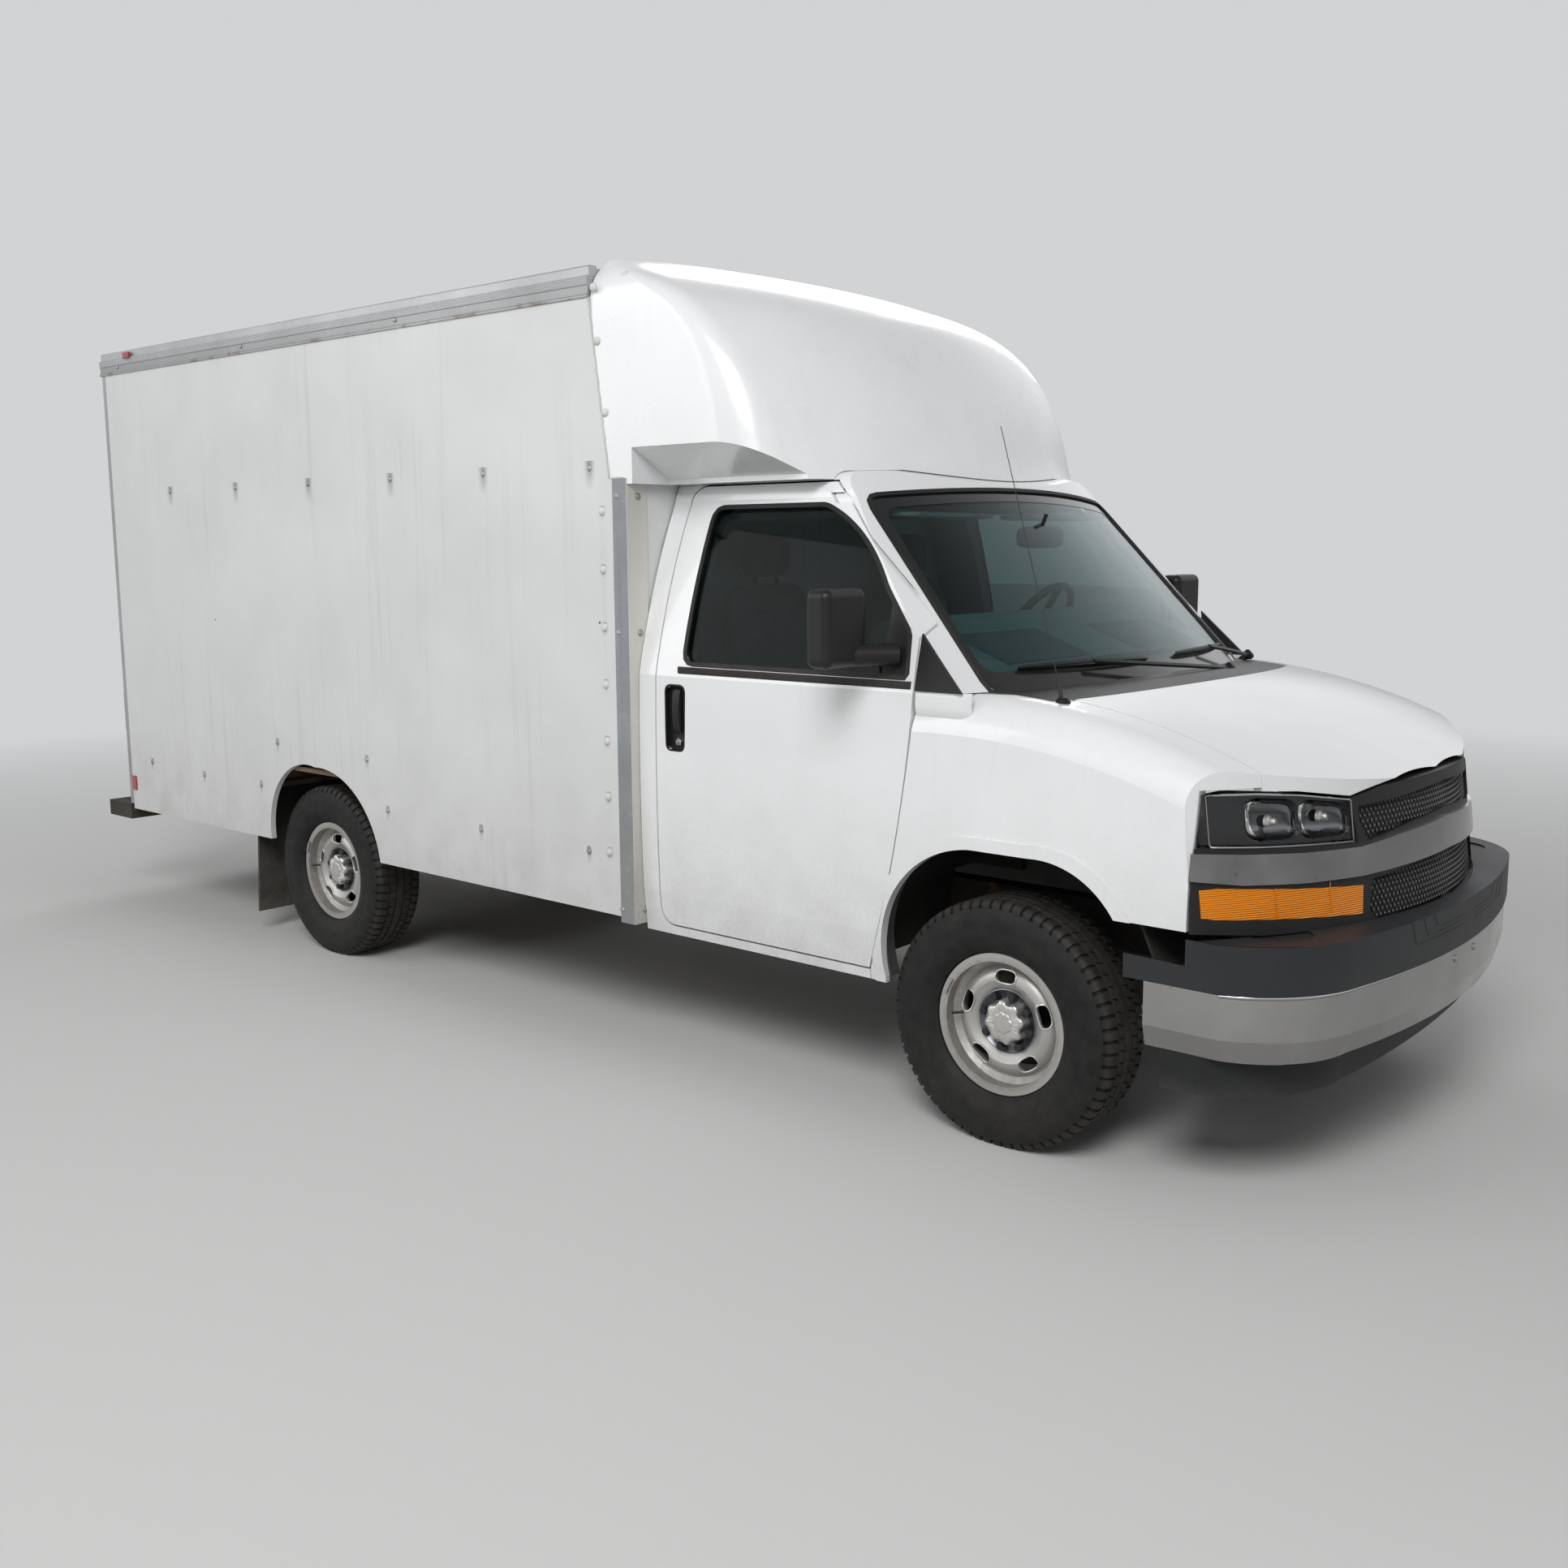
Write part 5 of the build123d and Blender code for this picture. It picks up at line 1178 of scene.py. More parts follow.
class TRUCK_OT_finishes(bpy.types.Operator):
    """Give every solid its finish"""
    bl_idname = "truck.finishes"
    bl_label = "Finishes"

    def execute(self, context):
        made.update(make_finishes(settings("paint"), settings("wear")))
        for part in frame["record"]["subparts"]:
            node = NODES[part["node"]]
            chosen = made[FINISH_OF_NODE.get(part["node"], part["material_slot"])]
            if not node.material_slots:
                node.data.materials.append(chosen)
            for slot in node.material_slots:
                slot.material = chosen
        return {"FINISHED"}


class TRUCK_OT_tyres(bpy.types.Operator):
    """Build the four treaded tyres"""
    bl_idname = "truck.tyres"
    bl_label = "Tyres"

    def execute(self, context):
        sizes = settings("sizes")
        for end, word, turn in WHEELS:
            shape = tyre_shape(*wheel_place(end), sizes.tread_depth, sizes.tread_blocks)
            tyre = add_piece(f"tread_tyre_{end}_{word}", on_side(shape, turn), "tyre_rubber",
                             f"{end}_{word}_wheel", smooth_angle=30)
            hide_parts(f"tyre_{end}_{word}")
        return {"FINISHED"}


class TRUCK_OT_wheel_trim(bpy.types.Operator):
    """Build the caps, nuts, hole lips, valves and weights of the wheels"""
    bl_idname = "truck.wheel_trim"
    bl_label = "Wheel trim"

    def execute(self, context):
        for end, word, turn in WHEELS:
            for part, (shape, look, slot) in wheel_details(*wheel_place(end)).items():
                add_piece(f"{part}_{end}_{word}", on_side(shape, turn), look, f"{end}_{word}_wheel")
        return {"FINISHED"}


# Front end: the headlamp's outline on the right side as (side, lower height, upper height)
LAMP_EDGES = np.array([
    (0.499, 0.990, 1.0935), (0.519, 0.991, 1.114), (0.700, 0.998, 1.142), (0.822, 1.003, 1.153),
    (0.955, 1.012, 1.158), (1.000, 1.016, 1.154),
])
LAMP_CELLS = ((0.605, 0.088), (0.775, 0.078))


def lamp_field():
    """The lamp's inside as a grid: even steps across, and from its lower to its upper edge."""
    y = np.linspace(0.512, 0.972, 150)[:, None]
    low = np.interp(y, LAMP_EDGES[:, 0], LAMP_EDGES[:, 1]) + 0.006
    high = np.interp(y, LAMP_EDGES[:, 0], LAMP_EDGES[:, 2]) - 0.006
    share = np.linspace(0, 1, 60)[None]
    z = low + (high - low) * share
    y = np.broadcast_to(y, z.shape)
    cell, painted_crescent = np.zeros_like(z), np.zeros_like(z)
    for middle, half in LAMP_CELLS:
        across = np.abs((y - middle) / half)
        up = np.abs((share - 0.5) / 0.43)
        cell = np.maximum(cell, (1 - across**4 - up**4).clip(0, 1))
        # A painted highlight: a crescent at one side of each cell, brighter than the rest of its chrome
        bow = (y - middle) / half - 0.62 + 0.25 * up**2
        painted_crescent = np.maximum(painted_crescent, (cell > 0.05) * (bow > 0))
    depth = 0.018 + 0.040 * np.sqrt(cell)
    return y, z, depth, cell + painted_crescent


def headlamp_inner():
    """Reflector cells sunk in a bezel; returns the shape and how far each point is inside a cell, plus one on
    the painted crescent highlight.
    """
    y, z, depth, cell = lamp_field()
    return sheet_shape(nose_point(-y, z, depth)), cell.ravel()


def bulbs():
    """A frosted bulb with its shield in each reflector cell."""
    parts = []
    for middle, _ in LAMP_CELLS:
        centre = nose_point([-middle], 1.067, 0.046)
        bulb = turned([(0.0, -0.004), (0.016, -0.004), (0.016, 0.008), (0.011, 0.011), (0.011, 0.024),
                       (0.008, 0.029), (0.0, 0.031)], 20)
        parts.append(copies(bulb, centre, FACING_FRONT))
    return joined(parts)


def lamp_rim():
    """A thin bright line round the lens."""
    low, high = LAMP_EDGES[:, [0, 1]], LAMP_EDGES[:, [0, 2]]
    outline = even(np.concatenate([low[1:5] + (0, 0.003), high[1:5][::-1] - (0, 0.003)]), 120, closed=True)
    path = nose_point(-outline[:, 0], outline[:, 1], -0.0005)
    return swept(flat_profile(0.004, 0.002), path, (1, 0, 0.1), closed=True)


# Half outlines of the two mesh windows of the grille as (side, height), and the pitches of its pockets
UPPER_MESH = np.array([(0, 1.030), (0.250, 1.016), (0.458, 0.990), (0.490, 1.056), (0.486, 1.092),
                       (0.348, 1.094), (0, 1.112)])
LOWER_MESH = np.array([(0, 0.904), (0.240, 0.896), (0.449, 0.879), (0.472, 0.794), (0.444, 0.763),
                       (0, 0.757)])
CELL_PITCH, CELL_ROW = 0.020, 0.016
# The bumper pad's frames stand out by 1 mm and stay within the solids' box
FRONT_LIMIT = CAD_BOX[1][0] - 0.0011


def inside(outline, y, z):
    """Which points lie inside an outline: an odd number of its edges lie beyond each."""
    hits = np.zeros(np.shape(y), bool)
    for (y0, z0), (y1, z1) in zip(outline, np.roll(outline, -1, 0)):
        crosses = (z0 > z) != (z1 > z)
        with np.errstate(divide="ignore", invalid="ignore"):
            hits ^= crosses & (y < y0 + (z - z0) * (y1 - y0) / (z1 - z0))
    return hits


def mesh_cells():
    """Rows of small U-shaped pockets behind both mesh windows, every other row moved half a step."""
    turn = np.linspace(pi, 2 * pi, 7)
    bowl = np.stack([0.0082 * np.cos(turn), 0.0005 + 0.0072 * np.sin(turn)], -1)
    cup = np.concatenate([[(-0.0082, 0.0075)], bowl, [(0.0082, 0.0075)]])
    path = np.stack([np.zeros(len(cup)), cup[:, 0], cup[:, 1]], -1)
    pocket = swept(flat_profile(0.0026, 0.017, -0.0085), path, (1, 0, 0))
    row, column = np.meshgrid(np.arange(24), np.arange(-26, 27), indexing="ij")
    z = 0.7575 + CELL_ROW * row
    y = CELL_PITCH * column + CELL_PITCH / 2 * (row % 2)
    keep = inside(UPPER_MESH, np.abs(y), z) | inside(LOWER_MESH, np.abs(y), z)
    centre = nose_point(y[keep], z[keep], 0.020)
    return copies(pocket, centre, np.eye(3))


class TRUCK_OT_headlamps(bpy.types.Operator):
    """Build the headlamps' reflectors, bulbs and rims and the turn lamps' bars"""
    bl_idname = "truck.headlamps"
    bl_label = "Headlamps"

    def execute(self, context):
        for word, turn in SIDES:
            shape, cell = headlamp_inner()
            inner = add_piece("lamp_reflector_" + word, on_side(shape, turn), "lamp_inner",
                              mend=False, smooth_angle=60)
            level = inner.data.attributes.new("cell", "FLOAT", "POINT")
            level.data.foreach_set("value", cell)
        add_piece("lamp_bulbs", both(bulbs()), "cap_silver")
        add_piece("lamp_rims", both(lamp_rim()), "bright_trim")
        strips = []
        for y in (0.618, 0.792):
            z = np.linspace(0.806, 0.892, 8)
            strips.append(swept(flat_profile(0.005, 0.0012), nose_point(np.full(8, -y), z, 0.0), (1, 0, 0.1)))
        add_piece("turn_lamp_bars", both(joined(strips)), "lamp_amber")
        return {"FINISHED"}


class TRUCK_OT_grille_cells(bpy.types.Operator):
    """Build the rows of small pockets in the grille"""
    bl_idname = "truck.grille_cells"
    bl_label = "Grille cells"

    def execute(self, context):
        add_piece("grille_cells", mesh_cells(), "cell_plastic", mend=False)
        return {"FINISHED"}


class TRUCK_OT_bumper_trim(bpy.types.Operator):
    """Build the front bumper's pad ends, shelf, rolled lip, stepped frames and plate bolts"""
    bl_idname = "truck.bumper_trim"
    bl_label = "Bumper trim"

    def execute(self, context):
        line = bumper_path(0.0, 0.0, 400, 0.625)
        line = line[(line[:, 1] < 0) & (line[:, 0] < AXLE_X + 0.90)]
        level = np.linspace(0.632, 0.765, 10)[None, :, None] * (0, 0, 1)
        inward = line * (1, 0.9965, 1) - (0.002, 0, 0)
        ends = slab_shape((line * (1, 1.001, 1))[:, None] + level, inward[:, None] + level)
        add_piece("pad_ends", both(ends), "pad_plastic")
        across = np.linspace(-0.93, 0.93, 80)
        plan = bumper_path(0.0, 0.0, 400)
        front = np.stack([np.interp(across, plan[:, 1], plan[:, 0]) - 0.03, across, np.full(80, 0.7615)], -1)
        behind = nose_point(across, 0.757, 0.016)
        share = np.linspace(0, 1, 6)[None, :, None]
        shelf = behind[:, None] + (front - behind)[:, None] * share
        add_piece("bumper_shelf", slab_shape(shelf, shelf - (0, 0, 0.005)), "pad_plastic")
        lip = swept(round_profile(0.006, 12), bumper_path(-0.0085, 0.6235), (0, 0, 1))
        add_piece("bumper_lip", lip, "bumper_chrome")
        frames = []
        for half, low, high in ((0.43, 0.692, 0.7635), (0.36, 0.706, 0.7625), (0.29, 0.720, 0.7615)):
            line = even(rounded([(-half, high), (-half + 0.03, low), (half - 0.03, low), (half, high)],
                                [0.001, 0.022, 0.022, 0.001]), 90)
            x = np.interp(line[:, 0], plan[:, 1], plan[:, 0])
            path = at(np.minimum(x, FRONT_LIMIT) - AXLE_X, line[:, 0], line[:, 1])
            frames.append(swept(flat_profile(0.004, 0.0022, -0.0012), path, (1, 0, 0)))
        add_piece("pad_frames", joined(frames), "pad_plastic")
        bolts = copies(dome(0.0075, 0.004, 16, 0.004), at(1.0585, [-0.089, 0.089], 0.590), FACING_FRONT)
        add_piece("plate_bolts", bolts, "bolt_zinc")
        return {"FINISHED"}


# Glass, wipers and the cab's outside


class TRUCK_OT_glazing_trim(bpy.types.Operator):
    """Build the windows' seals and black edges, and the small panels beside them"""
    bl_idname = "truck.glazing_trim"
    bl_label = "Glazing trim"

    def execute(self, context):
        frame_line = windshield_frame(0.004)
        y, z = frame_line.T
        seal = swept(flat_profile(settings("sizes").seal_width * 0.7, 0.006, -0.004),
                     windshield_point(y, z), windshield_normal(y), closed=True)
        add_piece("windshield_seal", seal, "seal_rubber")
        rows = []
        for grow, low in ((-0.038, -0.066), (-0.030, -0.05), (-0.002, -0.002)):
            y, z = windshield_frame(grow, low).T
            rows.append(windshield_point(y, z, -0.0052))
        add_piece("windshield_edge", sheet_shape(np.stack(rows), wrap_columns=True), "glass_frit",
                  mend=False)
        x, z = window_frame().T
        outward = np.stack([np.zeros(len(z)), -np.ones(len(z)), np.full(len(z), 0.25)], -1)
        band = swept(flat_profile(0.016, 0.006, -0.0045), side_point(x, z), outward, closed=True)
        station = np.linspace(-1.290, -0.300, 30)
        strip = swept([(-0.0025, -0.011), (0.0035, -0.011), (0.0055, 0.0), (0.0035, 0.013), (-0.0025, 0.013)],
                      side_point(station, 1.402), (0, 0, 1))
        for word, turn in SIDES:
            for name, shape in (("window_seal_", band), ("belt_strip_", strip)):
                add_piece(name + word, on_side(shape, turn), "seal_rubber", "door_" + word)
        up, along = field((0, 1, 10), (0, 1, 14))
        x = -0.282 + 0.172 * along
        z = 1.388 + 0.172 * up * (1 - along)
        corner = slab_shape(side_point(x, z, 0.005), side_point(x, z, -0.004))
        add_piece("corner_panels", both(corner), "black_plastic")
        x, z = field((-0.283, -0.090, 18), (1.285, 1.3885, 16))
        low, forward = np.clip((1.350 - z) / 0.065, 0, 1), np.clip((x + 0.135) / 0.045, 0, 1)
        sunk = 0.0035 + 0.030 * low**2 + 0.016 * forward**2
        shoulder = slab_shape(side_point(x, z, -sunk), side_point(x, z, -sunk - 0.006))
        add_piece("shoulder_panels", both(shoulder), "white_paint")
        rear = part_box("cab_shell")[0][0] - AXLE_X
        x, z = np.meshgrid(rear + np.linspace(0.0, 0.045, 6), np.linspace(1.80, 1.966, 16), indexing="ij")
        edge = slab_shape(side_point(x, z, -0.0004), side_point(x, z, -0.006))
        add_piece("cab_rear_edges", both(edge), "white_paint")
        return {"FINISHED"}


def wiper(blade_from, blade_to, grip, pivot):
    """A wiper: its rubber blade and bow along the glass, and the arm from its pivot, bent over the cowl."""
    share = np.linspace(0, 1, 24)
    ends = np.array([blade_from, blade_to])
    y = np.interp(share, [0, 1], ends[:, 0])
    z = np.interp(share, [0, 1], ends[:, 1])
    normal = windshield_normal(y)
    glass = windshield_point(y, z, -0.006)
    rubber = swept([(-0.003, 0.0), (0.003, 0.0), (0.0015, 0.010), (-0.0015, 0.010)], glass, normal)
    bow_height = 0.011 + 0.010 * np.sin(pi * share) ** 0.5
    bow = swept(flat_profile(0.009, 0.005), glass + normal * bow_height[:, None], normal)
    reach = np.linspace(0, 1, 20)
    arm_y = grip[0] + (pivot[0] - grip[0]) * reach
    arm_z = grip[1] + (pivot[1] - grip[1]) * reach
    arm_up = windshield_normal(arm_y)
    lift = 0.026 + 0.022 * reach
    arm_path = windshield_point(arm_y, arm_z, 0.0) + arm_up * lift[:, None]
    flat = np.array([(-1, 0), (1, 0), (0.6, 0.007), (-0.6, 0.007)])
    arm = swept(flat * (0.009, 1), arm_path, arm_up)
    post = windshield_point(np.array([pivot[0]]), np.array([pivot[1]]), 0.0) + arm_up[-1:] * 0.012
    cap = turned([(0.0, -0.05), (0.015, -0.05), (0.015, 0.030), (0.021, 0.034), (0.021, 0.048),
                  (0.014, 0.054), (0.0, 0.055)], 20)
    normal = arm_up[-1]
    axis_x = np.cross((0, 1, 0), normal)
    axis_x /= np.linalg.norm(axis_x)
    return joined([rubber, bow, arm, copies(cap, post, (axis_x, np.cross(normal, axis_x), normal))])


class TRUCK_OT_wipers(bpy.types.Operator):
    """Build both wipers"""
    bl_idname = "truck.wipers"
    bl_label = "Wipers"

    def execute(self, context):
        near = wiper((-0.706, 1.440), (-0.072, 1.436), (-0.406, 1.437), (0.389, 1.352))
        far = wiper((0.155, 1.440), (0.745, 1.436), (0.455, 1.437), (0.868, 1.365))
        add_piece("wipers", joined([near, far]), "black_plastic")
        return {"FINISHED"}


def door_handle():
    """A pull handle in its dish: a plate, a rim, an upright grip that bows out and a lock."""
    outline = rounded([(-1.3495, 1.1175), (-1.2575, 1.1175), (-1.2575, 1.3495), (-1.3495, 1.3495)], 0.026, 8)
    plate = plate_shape(at(outline[:, 0], -0.979, outline[:, 1]), (0, -0.006, 0))
    line = even(outline, 80, closed=True)
    rim = swept(round_profile(0.0035, 8), at(line[:, 0], -1.0045, line[:, 1]), (0, -1, 0), closed=True)
    wall = [at(line[:, 0], -0.984, line[:, 1]), at(line[:, 0], -1.006, line[:, 1])]
    share = np.linspace(0, 1, 24)
    bow = np.sin(pi * share) ** 0.4
    grip = swept([(-0.021, -0.004), (0.021, -0.004), (0.017, 0.006), (0.0, 0.009), (-0.017, 0.006)],
                 at(-1.303, -0.984 - 0.014 * bow, 1.185 + 0.150 * share), (0, -1, 0))
    lock = copies(turned([(0.0, 0.0), (0.014, 0.0), (0.014, 0.010), (0.011, 0.012), (0.0, 0.0115)], 24),
                  at([-1.303], -0.982, 1.148), FACING_RIGHT)
    return joined([plate, rim, grip]), lock, sheet_shape(np.stack(wall), wrap_columns=True)


def antenna():
    """The mast on the right: a round foot, a thicker flexible start and a thin whip that leans back."""
    foot, tip = np.array((0.142, -0.850, 1.366)), np.array((-0.150, -0.750, 2.185))
    share = np.array([0.0, 0.02, 0.022, 0.09, 0.095, 0.5, 0.995, 1.0])
    radius = np.array([0.0, 0.012, 0.0055, 0.0045, 0.0018, 0.0015, 0.0012, 0.0])
    path = foot + (tip - foot) * share[:, None]
    turn = np.arange(12) * 2 * pi / 12
    ring = np.stack([np.cos(turn), np.sin(turn), np.zeros(12)], -1)
    points = path[:, None] + ring[None] * radius[:, None, None] + (AXLE_X, 0, 0)
    base = copies(turned([(0.0, -0.03), (0.024, -0.03), (0.022, 0.006), (0.013, 0.016), (0.0, 0.018)], 24),
                  at([foot[0]], foot[1], foot[2]), np.eye(3))
    return joined([sheet_shape(points, wrap_columns=True), base])


class TRUCK_OT_cab_outside(bpy.types.Operator):
    """Build the door handles and locks, mirror glass and antenna"""
    bl_idname = "truck.cab_outside"
    bl_label = "Cab outside"

    def execute(self, context):
        handle, lock, wall = door_handle()
        rows, columns = field((-1, 1, 12), (-1, 1, 10))
        bulge = 0.002 * (1 - rows**2)
        pane = sheet_shape(at(-0.5135 - bulge, -1.150 + 0.076 * columns, 1.580 + 0.097 * rows))
        for word, turn in SIDES:
            for name, shape, look, slot in (
                ("door_handle_", handle, "black_plastic", "black_plastic"),
                ("door_lock_", lock, "bright_trim", "bumper_chrome"),
                ("handle_dish_", wall, "black_plastic", "black_plastic"),
                ("mirror_glass_", pane, "mirror_glass", "window_glass"),
            ):
                add_piece(name + word, on_side(shape, turn), look, "door_" + word)
        add_piece("antenna", antenna(), "black_plastic")
        return {"FINISHED"}


# Inside the cab: each pad's side view as four (station, height) corners, its half width and its channels
SEAT_PARTS = {
    "cushion": ([(-1.340, 0.930), (-0.830, 0.960), (-0.810, 1.085), (-1.290, 1.065)], 0.245, 5),
    "back": ([(-1.345, 1.040), (-1.215, 1.040), (-1.310, 1.690), (-1.415, 1.690)], 0.235, 7),
    "head_rest": ([(-1.410, 1.712), (-1.325, 1.712), (-1.330, 1.870), (-1.400, 1.870)], 0.120, 1),
}


def padded_form(quad, half, channels, upright, middle):
    """A crowned pad: a rounded block laid into a side view outline of four corners. Its soft face
    swells towards the middle, sinks along sewn channels and rises at both side bolsters."""
    form = superellipsoid((0.42, 0.42), 40, 96)
    long, wide, thick = (form[..., 2], form[..., 0], form[..., 1]) if upright else (
        form[..., 0], form[..., 1], form[..., 2])
    swell = 0.10 * (1 - long**2) * (1 - wide**2)
    bolster = sewn = 0.0
    if channels > 1:
        bolster = 0.14 * np.exp(-((np.abs(wide) - 0.78) / 0.16) ** 2)
        seam = np.cos(pi * channels * (long + 1) / 2) ** 2
        sewn = 0.10 * (1 - seam) ** 6 * (np.abs(wide) < 0.7)
    side = np.clip(thick, 0, 1)
    thick = np.where(thick > 0, thick * (0.82 + swell + bolster * side - sewn * side), thick).clip(-1, 1)
    a, b, c, d = (np.array(corner) for corner in quad)
    u, v = ((thick + 1) / 2, (long + 1) / 2) if upright else ((long + 1) / 2, (thick + 1) / 2)
    place = (a * ((1 - u) * (1 - v))[..., None] + b * (u * (1 - v))[..., None]
             + c * (u * v)[..., None] + d * ((1 - u) * v)[..., None])
    points = at(place[..., 0], middle + wide * half, place[..., 1])
    length = np.linalg.norm(d - a) if upright else np.linalg.norm(b - a)
    thread = np.stack([wide * half, long * length / 2, np.zeros_like(wide)], -1)
    return sheet_shape(points, wrap_columns=True), thread.reshape(-1, 3)


class TRUCK_OT_seats(bpy.types.Operator):
    """Build both padded seats with their pedestals and head rest rods"""
    bl_idname = "truck.seats"
    bl_label = "Seats"

    def execute(self, context):
        for word, turn in SIDES:
            for part, (quad, half, channels) in SEAT_PARTS.items():
                shape, thread = padded_form(quad, half, channels, part != "cushion", 0.450 * turn)
                pad = add_piece(f"cab_{part}_{word}", shape, "seat_cloth",
                                mend=False, smooth_angle=70)
                layer = pad.data.attributes.new("thread", "FLOAT_VECTOR", "POINT")
                layer.data.foreach_set("vector", thread.ravel())
                close_mesh(pad.data, 10 * MERGE_DISTANCE)
        stands = []
        for y in (-0.450, 0.450):
            stands.append(block_shape(at(-1.07, y, 0.8475), (0.34, 0.34, 0.225), (0.15, 0.15)))
            for off in (-0.06, 0.06):
                stands.append(rod_shape(at(-1.362, y + off, 1.650), at(-1.365, y + off, 1.750), 0.008))
        stand = add_piece("cushion_stands", joined(stands), "black_plastic")
        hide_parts("seats")
        return {"FINISHED"}


def dash_point(x, y, proud):
    """A point over the dashboard's sloping top."""
    return at(x, y, 1.378 + (0.060 - x) * (1.562 - 1.378) / 0.490 + proud)


class TRUCK_OT_cab_inside(bpy.types.Operator):
    """Build the mirror, sun visors, dashboard vents and trays inside the cab"""
    bl_idname = "truck.cab_inside"
    bl_label = "Cab inside"

    def execute(self, context):
        head = block_shape(at(-0.455, 0.0, 1.850), (0.034, 0.300, 0.078), (0.5, 0.5))
        stalk = rod_shape(at(-0.455, 0.0, 1.872), at(-0.430, 0.0, 1.935), 0.007)
        add_piece("inside_mirror", joined([head, stalk]), "black_plastic")
        visors = [block_shape(at(-0.640, y, 1.925), (0.17, 0.56, 0.022), (0.4, 0.3)) for y in (-0.40, 0.40)]
        add_piece("sun_visors", joined(visors), "dash_plastic")
        top = []
        for y0, y1 in ((-0.70, -0.18), (0.16, 0.66)):
            across, back = field((0, 1, 40), (0, 1, 20))
            edge = (1 - np.abs(2 * across - 1) ** 6) * (1 - np.abs(2 * back - 1) ** 6)
            x = -0.14 - 0.22 * back
            top.append(sheet_shape(dash_point(x, y0 + (y1 - y0) * across, 0.001 + 0.002 * (1 - edge))))
        add_piece("dash_trays", joined(top), "dash_dark")
        slots = []
        for y in np.arange(-0.54, 0.55, 0.03):
            path = dash_point(np.array([-0.125, -0.090]), y, 0.0005)
            slots.append(swept(flat_profile(0.012, 0.003), path, (0, 0, 1)))
        add_piece("dash_vents", joined(slots), "seal_rubber")
        return {"FINISHED"}


# Box body: sides of the fairing and of the rail, and heights of the post's bolts
FAIRING_SIDE, RAIL_SIDE = 1.0455, 1.049
POST_BOLTS = ((-1.534, 2.001), (-1.537, 1.525), (-1.545, 0.520))


class TRUCK_OT_box_fasteners(bpy.types.Operator):
    """Build the bolts and screws of the box's sides, posts and rails"""
    bl_idname = "truck.box_fasteners"
    bl_label = "Box fasteners"

    def execute(self, context):
        sizes = settings("sizes")
        round_head = dome(sizes.bolt_radius, sizes.bolt_height, 14)
        flat_head = dome(sizes.bolt_radius * 0.85, sizes.bolt_height * 0.6, 14, 0.004)

        def row(spots, side, head):
            """Heads on a side face at (station, height) spots."""
            spots = np.asarray(spots, float)
            return copies(head, at(spots[:, 0], -side, spots[:, 1]), FACING_RIGHT)

        wall = joined([row(MIDDLE_ROW, BOX_SIDE, round_head),
                       row(LOWER_ROW + ARCH_BOLTS, BOX_SIDE, flat_head)])
        add_piece("wall_bolts", both(wall), "bolt_zinc")
        large_head = dome(sizes.bolt_radius * 1.35, sizes.bolt_height * 1.5, 16)
        edge = joined([row(EDGE_COLUMN, BOX_SIDE, large_head), row(SEAM_BOLTS, FAIRING_SIDE, large_head)])
        add_piece("edge_bolts", both(edge), "bolt_white")
        post = row(POST_BOLTS, BOX_SIDE + 0.002, flat_head)
        front = copies(flat_head, at(-1.482, -0.992, [height for _, height in POST_BOLTS]), FACING_FRONT)
        rail = row(RAIL_SCREWS, RAIL_SIDE, dome(0.009, 0.004, 12))
        add_piece("post_bolts", both(joined([post, front, rail])), "bolt_zinc")
        return {"FINISHED"}


class TRUCK_OT_box_sealant(bpy.types.Operator):
    """Build the sealant beads between the fairing and the box"""
    bl_idname = "truck.box_sealant"
    bl_label = "Sealant"

    def execute(self, context):
        share = np.linspace(0, 1, 240)
        wave = 0.0008 * np.sin(share * 61) + 0.0006 * np.sin(share * 143 + 1)
        x = -1.568 + (-1.655 + 1.568) * share + wave
        bead = swept(round_profile(0.0045, 8), at(x, -1.0445, 2.066 + 0.620 * share), (0, -1, 0))
        flat = np.linspace(-1.555, -1.500, 12)
        foot = swept(round_profile(0.004, 8), at(flat, -FAIRING_SIDE, 2.0645), (0, -1, 0))
        add_piece("seam_sealant", both(joined([bead, foot])), "sealant")
        return {"FINISHED"}


class TRUCK_OT_box_markers(bpy.types.Operator):
    """Build the red markers and the reflectors on the box"""
    bl_idname = "truck.box_markers"
    bl_label = "Markers"

    def execute(self, context):
        top = block_shape(at(-4.987, -1.0525, 2.772), (0.062, 0.014, 0.030), (0.25, 0.3))
        low = block_shape(at(-5.205, -1.0475, 0.632), (0.042, 0.010, 0.073), (0.2, 0.25))
        add_piece("side_markers", both(joined([top, low])), "lamp_red")
        rear = [block_shape(at(-5.268, y, 2.745), (0.016, 0.09, 0.030), (0.25, 0.3))
                for y in (-0.16, 0.0, 0.16)]
        add_piece("rear_markers", joined(rear), "lamp_red")
        return {"FINISHED"}


